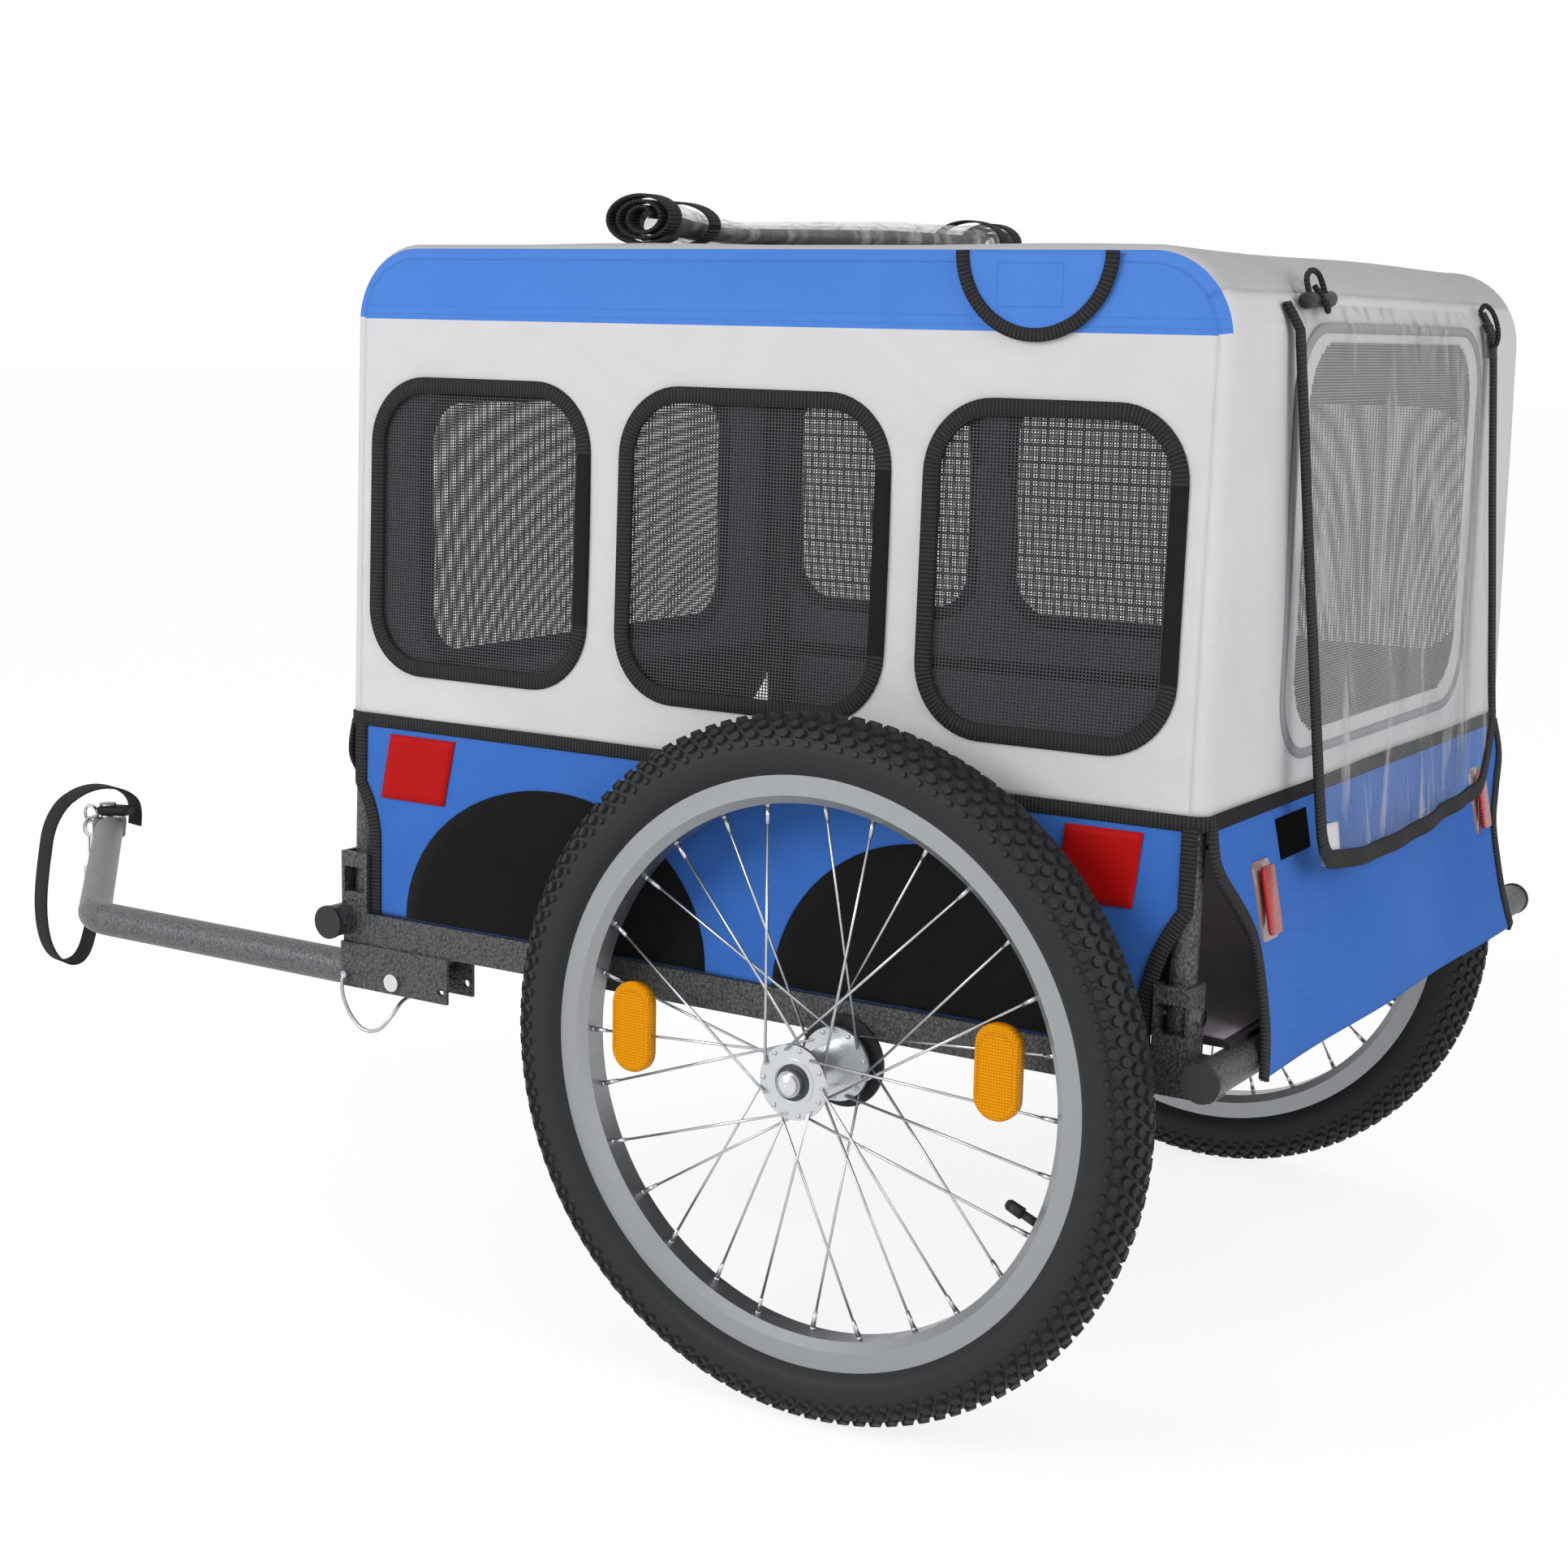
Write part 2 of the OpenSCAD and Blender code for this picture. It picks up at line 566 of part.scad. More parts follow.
// ---- drawbar ----
module bar_path(radius, over) {
    // the bend, with the slanting length from one end and the straight length from the other
    tangent = bar_bend_r * tan(22.5);
    slant = (hitch_x - bar_bend_x) * sqrt(2);
    tongue_l = 50;
    straight = bar_bend_x - bar_pivot_x + 15 - tangent;
    translate([-bar_bend_x + tangent, bar_bend_r - bar_y, bar_z]) rotate([0, 0, 225]) {
        rotate_extrude(angle = 45) translate([bar_bend_r, 0]) circle(radius);
        translate([bar_bend_r, 0, 0]) rotate([90, 0, 0]) cylinder(h = slant - tangent - tongue_l, r = radius);
        rotate([0, 0, 45]) translate([bar_bend_r, 0, 0]) rotate([-90, 0, 0]) cylinder(h = straight + over, r = radius);
    }
}
module drawbar() {
    tongue_l = 50;
    tongue_w = 32;
    pin_ring = pin_offset + pin_d / 2 + 0.25;
    plug = bar_r * 0.68;
    on_axle() color("dimgray") difference() {
        union() {
            difference() {
                bar_path(bar_r, 0);
                bar_path(bar_r - tube_wall, 0.01);
            }
            // the end is pressed flat
            translate([-hitch_x, 0, bar_z]) rotate([0, 0, -45]) intersection() {
                rotate([90, 0, 0]) linear_extrude(tongue_w, center = true) polygon([
                    [-tongue_w, -tongue_t / 2], [28, -tongue_t / 2], [tongue_l + 4, -plug], [tongue_l + 4, plug],
                    [28, tongue_t / 2], [-tongue_w, tongue_t / 2]]);
                linear_extrude(bar_d, center = true) {
                    circle(tongue_w / 2);
                    polygon([[0, -tongue_w / 2], [40, -tongue_w / 2], [tongue_l + 4, -plug],
                        [tongue_l + 4, plug], [40, tongue_w / 2], [0, tongue_w / 2]]);
                }
            }
        }
        translate([-hitch_x, 0, bar_z]) cylinder(h = bar_d, r = hitch_d / 2 + run_fit, center = true);
        translate([-bar_pivot_x, -bar_y, bar_z]) along_y(2 * bar_d, pivot_d / 2 + 1 + run_fit);
        // the lock pin's hole runs up as a curved slot about the pivot
        translate([-bar_pivot_x, -bar_y, bar_z]) intersection() {
            difference() {
                along_y(2 * bar_d, pin_ring);
                along_y(3 * bar_d, pin_ring - pin_d - 0.5);
            }
            translate([-2 * pin_ring, -bar_d, -pin_d / 2 - 0.25]) cube([2 * pin_ring, 2 * bar_d, 2 * bar_d]);
        }
    }
}
module lock_pin() {
    outer = channel_gap + 2 * plate_t;
    head_r = 6;
    head_t = 4;
    on_axle() color("silver") translate([-bar_pivot_x - pin_offset, -bar_y, bar_z]) {
        translate([0, -2, 0]) along_y(outer + 4 + 2 * seat_gap, pin_d / 2);
        translate([0, outer / 2 + seat_gap + head_t / 2, 0]) along_y(head_t, head_r);
    }
}
module hitch_bolt() {
    head_t = 5;
    washer_t = 2;
    shackle_t = 2;
    top = tongue_t / 2 + shackle_t;
    on_axle() color("silver") translate([-hitch_x, 0, bar_z]) {
        translate([0, 0, -tongue_t / 2 - 8]) cylinder(h = tongue_t + 8 + shackle_t + 2, r = hitch_d / 2);
        translate([0, 0, top]) cylinder(h = washer_t, r = 11);
        translate([0, 0, -tongue_t / 2 - 7]) cylinder(h = 7, r = 8.5, $fn = 6);
    }
}
module strap_clamp() {
    // folded webbing end riveted over the hitch bolt
    clamp_y = 22;
    clamp_t = 9;
    on_axle() color([0.12, 0.12, 0.12]) {
        translate([-hitch_x + 6, 2.5, bar_z + tongue_t / 2 + 4 + clamp_t / 2]) rotate([0, 0, 20])
            cube([clamp_x, clamp_y, clamp_t], center = true);
        intersection() {
            strap_sweep();
            over_hitch();
        }
    }
}
module hitch_shackle() {
    plate_w = 14;
    plate_t2 = 2;
    on_axle() color("silver") translate([-hitch_x, 0, bar_z + tongue_t / 2]) {
        difference() {
            translate([-ring_out + ring_r, -plate_w / 2, 0]) cube([ring_out - ring_r + 9, plate_w, plate_t2]);
            translate([0, 0, -1]) cylinder(h = 4, r = hitch_d / 2 + run_fit);
        }
        translate([-ring_out, 0, plate_t2 / 2]) rotate([90, 0, 0]) rotate_extrude() translate([ring_r, 0]) circle(ring_wire);
    }
}
// ---- snap hook, its eye linked through the shackle's ring ----
module at_eye() { on_axle() translate([-hitch_x - ring_out, 0, ring_z - ring_r + 2 * seat_gap - eye_drop]) rotate([0, 0, 90]) children(); }
module snap_hook() {
    barrel_r = 4.5;
    barrel_l = 30;
    loop_w = 28;
    loop_h = 16;
    bottom = -eye_r - barrel_l;
    at_eye() color("silver") {
        difference() {
            union() {
                rotate([90, 0, 0]) rotate([0, 0, -35]) rotate_extrude(angle = 290) translate([eye_r, 0]) circle(eye_wire);
                translate([0, 0, bottom]) cylinder(h = barrel_l, r = barrel_r);
            }
            translate([4, 0, bottom + barrel_l / 2]) cylinder(h = barrel_l / 2 + 2, r = bolt_r + 0.08);
        }
        translate([0, 0, bottom - 4]) cylinder(h = 4, r = 5.5);
        translate([0, 0, bottom - 6]) rotate([0, 0, 76]) {
            along_x(loop_w, eye_wire);
            for (s = [-1, 1]) translate([s * loop_w / 2, 0, -loop_h]) cylinder(h = loop_h, r = eye_wire);
            translate([0, 0, -loop_h]) along_x(loop_w + 2 * eye_wire, eye_wire);
        }
    }
}
module snap_bolt() {
    at_eye() color("silver") translate([4, 0, -20]) {
        cylinder(h = 15, r = bolt_r);
        translate([0, 0, bolt_r]) rotate([0, 90, 0]) cylinder(h = 6, r = bolt_r);
    }
}
// ---- safety strap ----
// The route's points, from behind the drawbar's end, over it and down, round and up to the snap hook's eye
strap_route = [
    [-1062, 26, 236], [-1062, 27, 250], [-1063, 25, 262], [-1066, 17, 271], [-1071, 5, 277],
    [-1078, -9, 279], [-1087, -23, 275], [-1098, -35, 264], [-1106, -42, 249], [-1111, -46, 232],
    [-1114, -48, 212], [-1115, -51, 192], [-1116, -53, 172], [-1116, -54, 152], [-1115, -53, 132],
    [-1113, -49, 114], [-1109, -42, 101], [-1104, -32, 95], [-1100, -22, 97], [-1098, -14, 106],
    [-1097, -8, 121], [-1097, -3, 137], [-1097, -1, 153], [-1097, 0, 169]
];
strap_side = [0.97, -0.24, 0];
// The route is laid out for this place of the hitch, and goes with it
route_hitch = [-1070, 0, 242];
strap_cut_y = -33;
function unit(v) = v / norm(v);
function strap_dir(i) = unit(strap_route[min(i + 1, len(strap_route) - 1)] - strap_route[max(i - 1, 0)]);
strap_outline = [[-1, -1], [-0.4, -1], [0.4, -1], [1, -1], [1, 1], [0.4, 1], [-0.4, 1], [-1, 1]];
function strap_ring(i) =
    let (t = strap_dir(i), w = unit(strap_side - (strap_side * t) * t), n = cross(t, w))
    [for (c = strap_outline) strap_route[i] + w * c[0] * strap_w / 2 + n * c[1] * strap_t / 2];
module strap_sweep() {
    rings = len(strap_route);
    sides = len(strap_outline);
    points = [for (i = [0:rings - 1]) each strap_ring(i)];
    walls = [for (i = [0:rings - 2], k = [0:sides - 1]) let (a = sides * i + k, b = sides * i + (k + 1) % sides)
        each [[a, b + sides, b], [a, a + sides, b + sides]]];
    last = sides * (rings - 1);
    ends = [[for (k = [0:sides - 1]) k], [for (k = [sides - 1:-1:0]) last + k]];
    translate([-hitch_x, 0, bar_z] - route_hitch) polyhedron(points, concat(walls, ends));
}
// The stretch over the hitch keeps still on the drawbar, and the loop hangs with the hook
module over_hitch() { translate([-hitch_x - 2 * clamp_x, strap_cut_y, bar_z - bar_d / 2]) cube([3 * clamp_x, 3 * clamp_x, 3 * bar_d]); }
module safety_strap() {
    on_axle() color([0.1, 0.1, 0.1]) difference() {
        strap_sweep();
        over_hitch();
    }
}

// ---- wheels, drawn with the outboard side at -Y and moved out to the wheel's plane ----
module at_wheel() { on_axle() translate([0, -wheel_y, axle_z]) children(); }
module turned() { rotate([90, 0, 0]) rotate_extrude($fn = 96) children(); }
module tyre() {
    section_r = tyre_w / 2;
    centre_r = wheel_r - section_r;
    at_wheel() color([0.1, 0.1, 0.1]) turned() difference() {
        translate([centre_r, 0]) circle(section_r);
        translate([centre_r, 0]) circle(section_r - tyre_wall);
        translate([0, -rim_w / 2 - run_fit]) square([rim_r + run_fit, rim_w + 2 * run_fit]);
    }
}
module left_tyre() { tyre(); }
module right_tyre() { mirror([0, 1, 0]) tyre(); }
module rim() {
    wall = 2;
    low = rim_r - rim_depth;
    bevel = 6;
    half = rim_w / 2;
    at_wheel() color([0.75, 0.76, 0.77]) turned() difference() {
        polygon([[low, bevel - half], [low + bevel, -half], [rim_r, -half], [rim_r, half],
            [low + bevel, half], [low, half - bevel]]);
        // the well, one wall thick all round
        polygon([[low + 1.5 * wall, bevel - half + wall], [low + bevel + wall, wall - half], [rim_r + 1, wall - half],
            [rim_r + 1, half - wall], [low + bevel + wall, half - wall], [low + 1.5 * wall, half - bevel - wall]]);
    }
}
module left_rim() { rim(); }
module right_rim() { mirror([0, 1, 0]) rim(); }
module hub() {
    flange_t = 3;
    end_out = flange_out + 2;
    end_in = flange_in + 5;
    end_r = bearing_d / 2 + 2.5;
    barrel_r = 15;
    seat = 9;
    at_wheel() {
        color([0.8, 0.81, 0.82]) turned() difference() {
            union() {
                translate([0, -end_in]) square([barrel_r, end_in + end_out]);
                for (end = [[-end_in, seat + 2], [end_out - seat - 2, seat + 2]])
                    translate([0, end[0]]) square([end_r, end[1]]);
                for (y = [flange_out, -flange_in]) translate([0, y - flange_t / 2]) square([flange_r, flange_t]);
            }
            translate([0, -end_in - 1]) square([axle_d / 2 + 3, end_in + end_out + 2]);
            translate([0, -end_in - 1]) square([bearing_d / 2, seat + 1]);
            translate([0, end_out - seat]) square([bearing_d / 2, seat + 1]);
        }
        // a sealed bearing sits in each end
        color([0.3, 0.3, 0.3]) turned() for (y = [-end_in + 0.5, end_out - seat])
            translate([axle_d / 2 + run_fit, y]) square([bearing_d / 2 - axle_d / 2 - 2 * run_fit, seat - 0.5]);
    }
}
module left_hub() { hub(); }
module right_hub() { mirror([0, 1, 0]) hub(); }
// One spoke as a cylinder between its flange hole and its nipple
module spoke(flange_y, offset_y, hub_angle, rim_angle, radius) {
    hole_r = flange_r - 3;
    nipple_r = rim_r - rim_depth - 0.2;
    a = [hole_r * cos(hub_angle), flange_y + offset_y, hole_r * sin(hub_angle)];
    b = [nipple_r * cos(rim_angle), flange_y > 0 ? 3 : -3, nipple_r * sin(rim_angle)];
    d = b - a;
    length = norm(d);
    stub = abs(offset_y) - 1.5 - run_fit;
    translate(a) rotate([0, acos(d[2] / length), atan2(d[1], d[0])]) {
        cylinder(h = length, r = radius, $fn = 16);
        translate([0, 0, length - 14]) cylinder(h = 14 - 0.4, r = radius + 0.8, $fn = 16);
    }
    translate(a) rotate([offset_y > 0 ? 90 : -90, 0, 0]) cylinder(h = stub, r = radius * 0.98, $fn = 16);
}
module spoke_set(radius) {
    per_side = spoke_count / 2;
    step = 360 / per_side;
    crossing = 2 * step;
    for (side = [-1, 1], j = [0:per_side - 1]) {
        flange_y = side < 0 ? -flange_out : flange_in;
        lead = j % 2 == 0 ? 1 : -1;
        rim_angle = j * step + (side < 0 ? 0 : step / 2);
        spoke(flange_y, side * (lead > 0 ? 3.6 : -2.6), rim_angle + lead * crossing, rim_angle, radius);
    }
}
reflector_angles = [176, 11];
module left_spokes() { wheel_spokes(); }
module right_spokes() { mirror([0, 1, 0]) wheel_spokes(); }
module wheel_spokes() {
    valve_angle = -23;
    valve_l = 26;
    rim_low = rim_r - rim_depth;
    reflector_r = 148;
    reflector_t = 9;
    at_wheel() {
        color("silver") spoke_set(spoke_d / 2);
        // amber reflectors clip over the outboard spokes
        color([0.95, 0.6, 0.1]) difference() {
            for (a = reflector_angles) rotate([0, -a, 0]) translate([reflector_r, -10, 0]) rotate([90, 0, 0])
                linear_extrude(reflector_t, center = true) rounded_rect(reflector_w, reflector_l, reflector_w / 2 - 1);
            spoke_set(spoke_d / 2 + 0.2);
        }
        // valve and its cap
        color([0.1, 0.1, 0.1]) rotate([0, -valve_angle, 0]) translate([rim_low - valve_l, 0, 0]) rotate([0, 90, 0]) {
            cylinder(h = valve_l - 0.2, r = 3);
            cylinder(h = 13, r = 4.2);
        }
    }
}
// ---- push-button axles ----
collar_r = 9.3;
collar_low = flange_out + 2 + seat_gap;
collar_l = 5;
button_r = 7.3;
button_t = 3;
rod_r = 2.5;
axle_l = wheel_y - rail_y + rail_s + 4;
module left_axle() { axle(); }
module right_axle() { mirror([0, 1, 0]) axle(); }
module axle() {
    at_wheel() color([0.8, 0.81, 0.82]) rotate([90, 0, 0]) difference() {
        union() {
            translate([0, 0, -axle_l]) cylinder(h = axle_l + collar_low + 1, r = axle_d / 2);
            translate([0, 0, collar_low]) cylinder(h = collar_l, r = collar_r);
        }
        translate([0, 0, collar_low + 1]) cylinder(h = collar_l, r = button_r + run_fit);
        translate([0, 0, -20]) cylinder(h = collar_low + 30, r = rod_r + run_fit);
    }
}
module left_axle_button() { axle_button(); }
module right_axle_button() { mirror([0, 1, 0]) axle_button(); }
module axle_button() {
    dome_r = 12;
    base = collar_low + collar_l - button_t + 2;
    cut = sqrt(dome_r * dome_r - button_r * button_r);
    at_wheel() color("silver") rotate([90, 0, 0]) {
        translate([0, 0, base]) cylinder(h = button_t, r = button_r);
        translate([0, 0, -10]) cylinder(h = base + 11, r = rod_r);
        translate([0, 0, base + button_t - cut]) rotate_extrude() intersection() {
            circle(dome_r);
            translate([0, cut - 0.01]) square(dome_r);
        }
    }
}

front_cross_tube();
rear_cross_tube();
left_side_rail();
right_side_rail();
axle_crossbar();
tube_end_caps();
left_axle_receiver();
right_axle_receiver();
axle_guard_discs();
left_front_hinge_bracket();
left_rear_hinge_bracket();
right_front_hinge_bracket();
right_rear_hinge_bracket();
hoop_pivot_bolts();
drawbar_bracket();
drawbar_pivot_bolt();
floor_board();
floor_liner();
left_skirt();
right_skirt();
front_skirt();
rear_skirt();
waist_binding();
front_panel();
front_window_mesh();
rear_panel();
roof_panel();
roof_window_mesh();
roof_cover_roll();
roof_side_flap();
rear_toggles();
rear_reflectors();
left_hoop();
left_side_panel();
left_window_meshes();
right_hoop();
right_side_panel();
right_window_meshes();
rear_clear_cover();
rear_mesh_door();
drawbar();
hitch_bolt();
strap_clamp();
hitch_shackle();
snap_hook();
snap_bolt();
safety_strap();
lock_pin();
left_axle();
left_axle_button();
left_tyre();
left_rim();
left_hub();
left_spokes();
right_axle();
right_axle_button();
right_tyre();
right_rim();
right_hub();
right_spokes();
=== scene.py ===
import math
import bmesh
import bpy
import numpy as np
from mathutils import Matrix, Vector


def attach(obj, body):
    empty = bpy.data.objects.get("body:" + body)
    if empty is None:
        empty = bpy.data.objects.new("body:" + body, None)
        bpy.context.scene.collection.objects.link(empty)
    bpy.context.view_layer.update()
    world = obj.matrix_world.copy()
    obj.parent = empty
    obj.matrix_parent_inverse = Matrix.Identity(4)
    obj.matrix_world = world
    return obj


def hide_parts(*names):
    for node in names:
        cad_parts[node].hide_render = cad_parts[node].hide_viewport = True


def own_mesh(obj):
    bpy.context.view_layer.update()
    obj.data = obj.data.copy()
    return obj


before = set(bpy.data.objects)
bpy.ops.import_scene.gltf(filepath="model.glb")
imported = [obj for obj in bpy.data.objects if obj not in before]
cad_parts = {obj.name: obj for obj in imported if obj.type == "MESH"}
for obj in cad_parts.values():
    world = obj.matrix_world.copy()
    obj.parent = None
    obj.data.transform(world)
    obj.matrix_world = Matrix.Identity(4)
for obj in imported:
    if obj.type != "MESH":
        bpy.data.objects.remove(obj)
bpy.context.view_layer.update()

# The camera stands behind the trailer's left rear corner, a little above the roof, and looks forward and across
# with a fairly long lens. Lengths below are in millimetres about the axle's middle, on the ground.
AXLE_X = 408.405


def here(x, y, z):
    """A place about the axle, in millimetres, as a point in the trailer's own frame, in metres."""
    return Vector(((x + AXLE_X) / 1000, y / 1000, z / 1000))


yaw, dip, roll = math.radians(32.02), math.radians(10.12), math.radians(1.22)
ahead = Vector((-math.sin(yaw) * math.cos(dip), math.cos(yaw) * math.cos(dip), -math.sin(dip)))
level = Vector((math.cos(yaw), math.sin(yaw), 0))
over = level.cross(ahead)
across = level * math.cos(roll) + over * math.sin(roll)
over = over * math.cos(roll) - level * math.sin(roll)
camera = bpy.data.objects.new("camera", bpy.data.cameras.new("camera"))
bpy.context.scene.collection.objects.link(camera)
camera.matrix_world = Matrix.LocRotScale(
    here(876, -1808, 754), Matrix((across, over, -ahead)).transposed().to_quaternion(), None)
camera.data.lens, camera.data.sensor_width = 58.42, 36
camera.data.clip_end = 60
bpy.context.scene.camera = camera
bpy.context.scene.view_settings.view_transform = "Standard"


# The safety strap is one length of 25 mm woven nylon webbing, 2 mm thick. It starts behind the drawbar's end, goes
# over the clamp, hangs in a loop and comes back up to the snap hook's lower bar, where it is sewn.
class Wire:
    """A shader value: plain sums on it add Math nodes."""

    def __init__(self, finish, socket):
        self.finish, self.socket = finish, socket

    def maths(self, operation, *values):
        return self.finish.node("ShaderNodeMath", {"operation": operation}, *values)

    def __add__(self, other): return self.maths("ADD", self, other)
    def __radd__(self, other): return self.maths("ADD", other, self)
    def __sub__(self, other): return self.maths("SUBTRACT", self, other)
    def __rsub__(self, other): return self.maths("SUBTRACT", other, self)
    def __mul__(self, other): return self.maths("MULTIPLY", self, other)
    def __rmul__(self, other): return self.maths("MULTIPLY", other, self)
    def __gt__(self, other): return self.maths("GREATER_THAN", self, other)
    def __lt__(self, other): return self.maths("LESS_THAN", self, other)
    def sine(self): return self.maths("SINE", self)
    def size(self): return self.maths("ABSOLUTE", self)
    def clear_of(self, other): return self.maths("MAXIMUM", self, other)


class Nodes:
    """A tree of shader nodes: its one method makes a node, sets it and links its inputs."""

    def __init__(self, tree):
        self.tree = tree

    def node(self, kind, settings, *values, output=0, **named):
        made = self.tree.nodes.new(kind)
        for key, value in settings.items():
            if key == "stops":
                for stop, (place, tint) in zip(made.color_ramp.elements, value):
                    stop.position, stop.color = place, (*tint, 1)
            else:
                setattr(made, key, value)
        places = [(made.inputs[i], v) for i, v in enumerate(values)]
        places += [(made.inputs[k.replace("_", " ")], v) for k, v in named.items()]
        for socket, value in places:
            if isinstance(value, Wire):
                self.tree.links.new(value.socket, socket)
            elif value is not None:
                socket.default_value = value
        return Wire(self, made.outputs[output])


class Finish(Nodes):
    """A surface finish: constants on the shader's own sockets, anything that varies linked in."""

    def __init__(self, name, colour, rough, metal=0.0, **fixed):
        self.material = bpy.data.materials.new(name)
        self.material.use_nodes = True
        super().__init__(self.material.node_tree)
        self.shader = self.tree.nodes["Principled BSDF"]
        self.set("Base Color", (*colour, 1))
        self.set("Roughness", rough)
        self.set("Metallic", metal)
        for socket, value in fixed.items():
            self.set(socket.replace("_", " "), value)

    def set(self, socket, value):
        if isinstance(value, Wire):
            self.tree.links.new(value.socket, self.shader.inputs[socket])
        else:
            self.shader.inputs[socket].default_value = value

    def place(self):
        """Where a point is, along each axis, in metres."""
        spot = self.node("ShaderNodeTexCoord", {}, output="Object")
        return [self.node("ShaderNodeSeparateXYZ", {}, spot, output=axis) for axis in "XYZ"]

    def along(self):
        """Length along and across a ribbon, in metres."""
        spot = self.node("ShaderNodeTexCoord", {}, output="UV")
        return [self.node("ShaderNodeSeparateXYZ", {}, spot, output=axis) for axis in "XY"]

    def noise(self, scale, detail=2.0):
        spot = self.node("ShaderNodeTexCoord", {}, output="Object")
        return self.node("ShaderNodeTexNoise", {}, Vector=spot, Scale=scale, Detail=detail)

    def tint(self, amount, dark, light):
        """Colour that runs from dark to light as amount goes from 0 to 1."""
        mixed = self.node("ShaderNodeMix", {"data_type": "RGBA"}, amount, output=2)
        mixed.socket.node.inputs[6].default_value = (*dark, 1)
        mixed.socket.node.inputs[7].default_value = (*light, 1)
        self.set("Base Color", mixed)

    def bump(self, height, depth, strength=1.0):
        self.set("Normal", self.node("ShaderNodeBump", {}, Strength=strength, Distance=depth, Height=height))


def rgb(red, green, blue):
    """A colour as it is seen, 0 to 255, as the light it stands for."""
    return tuple(c / 255 / 12.92 if c <= 10 else ((c / 255 + 0.055) / 1.055) ** 2.4 for c in (red, green, blue))


def piece(name, points, faces, finish, body, smooth=True, uv=None, second=None, picks=None):
    """A mesh piece from points about the axle, riding on a body; picks says which faces take the second finish."""
    mesh = bpy.data.meshes.new(name)
    mesh.from_pydata([here(*p) for p in points], [], faces)
    mesh.materials.append(finish.material)
    if second:
        mesh.materials.append(second.material)
        mesh.polygons.foreach_set("material_index", [int(p) for p in picks])
    if uv is not None:
        layer = mesh.uv_layers.new(name="along")
        loops = np.zeros(len(mesh.loops), int)
        mesh.loops.foreach_get("vertex_index", loops)
        layer.data.foreach_set("uv", np.array(uv, float)[loops].ravel())
    mesh.polygons.foreach_set("use_smooth", [smooth] * len(mesh.polygons))
    made = bpy.data.objects.new(name, mesh)
    bpy.context.scene.collection.objects.link(made)
    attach(made, body)
    return made


def unit(v):
    return v / np.maximum(np.linalg.norm(v, axis=-1, keepdims=True), 1e-9)


def shell(rings, around, start=0, closed=False, capped=False):
    """Faces between rings of points, from one ring to the next, with a cap at each end where it has one."""
    faces = [(start + i * around + k, start + i * around + (k + 1) % around,
              start + (i + 1) % rings * around + (k + 1) % around, start + (i + 1) % rings * around + k)
             for i in range(rings if closed else rings - 1) for k in range(around)]
    if capped:
        last = start + (rings - 1) * around
        faces += [tuple(range(start + around - 1, start - 1, -1)), tuple(range(last, last + around))]
    return faces


def swept(path, sides, outline, closed=False, grow=None):
    """An outline carried along a path. sides holds the direction of the outline's first axis at each point."""
    path, sides = np.array(path, float), np.array(sides, float)
    if sides.ndim == 1:
        sides = np.tile(sides, (len(path), 1))
    before, after = (np.roll(path, 1, 0), np.roll(path, -1, 0)) if closed else (
        np.vstack([path[:1], path[:-1]]), np.vstack([path[1:], path[-1:]]))
    run = unit(after - before)
    wide = unit(sides - run * (sides * run).sum(1, keepdims=True))
    deep = np.cross(run, wide)
    grow = np.ones(len(path)) if grow is None else np.array(grow)
    points, uv, n = [], [], len(outline)
    travelled = np.concatenate([[0], np.cumsum(np.linalg.norm(np.diff(path, axis=0), axis=1))])
    for i in range(len(path)):
        for a, b in outline:
            points.append(path[i] + wide[i] * a * grow[i] + deep[i] * b * grow[i])
            uv.append((travelled[i] / 1000, a / 1000))
    return points, shell(len(path), n, closed=closed, capped=not closed), uv


def flat_outline(width, thick):
    """A strip of webbing in section, its edges a little rounded."""
    w, t = width / 2, thick / 2
    return [(-w, -t * 0.5), (-w * 0.94, -t), (w * 0.94, -t), (w, -t * 0.5),
            (w, t * 0.5), (w * 0.94, t), (-w * 0.94, t), (-w, t * 0.5)]


def round_outline(radius, count=12):
    return [(radius * math.cos(2 * math.pi * k / count), radius * math.sin(2 * math.pi * k / count))
            for k in range(count)]


def smoothed(points, steps=4, closed=False):
    """A rounder run through the same points."""
    p = np.array(points, float)
    out = []
    count = len(p) if closed else len(p) - 1
    for i in range(count):
        a, b, c, d = (p[(i + k) % len(p)] if closed else p[min(max(i + k, 0), len(p) - 1)] for k in (-1, 0, 1, 2))
        for t in np.arange(steps) / steps:
            out.append(0.5 * (2 * b + (c - a) * t + (2 * a - 5 * b + 4 * c - d) * t * t
                              + (3 * b - 3 * c + d - a) * t ** 3))
    return np.array(out if closed else out + [p[-1]])


webbing = Finish("black_webbing", rgb(44, 44, 46), 0.75, Specular_IOR_Level=0.15)
run, wide = webbing.along()
webbing.bump((run * 2200).sine() + (wide * 3000).sine() * 0.3, 0.0005)
# Painted highlight and shade: the colour is lighter on each raised rib and darker in the grooves between them, in step
# with the bump.
webbing.tint((run * 2200).sine() * 0.5 + 0.5, rgb(34, 34, 36), rgb(56, 56, 58))


def binding(name, path, sides, body, width=15, thick=4.0, closed=True, finish=webbing):
    """A strip of webbing along a path, such as one folded over a cut edge and sewn down."""
    points, faces, uv = swept(path, sides, flat_outline(width, thick), closed=closed)
    return piece(name, points, faces, finish, body, uv=uv)


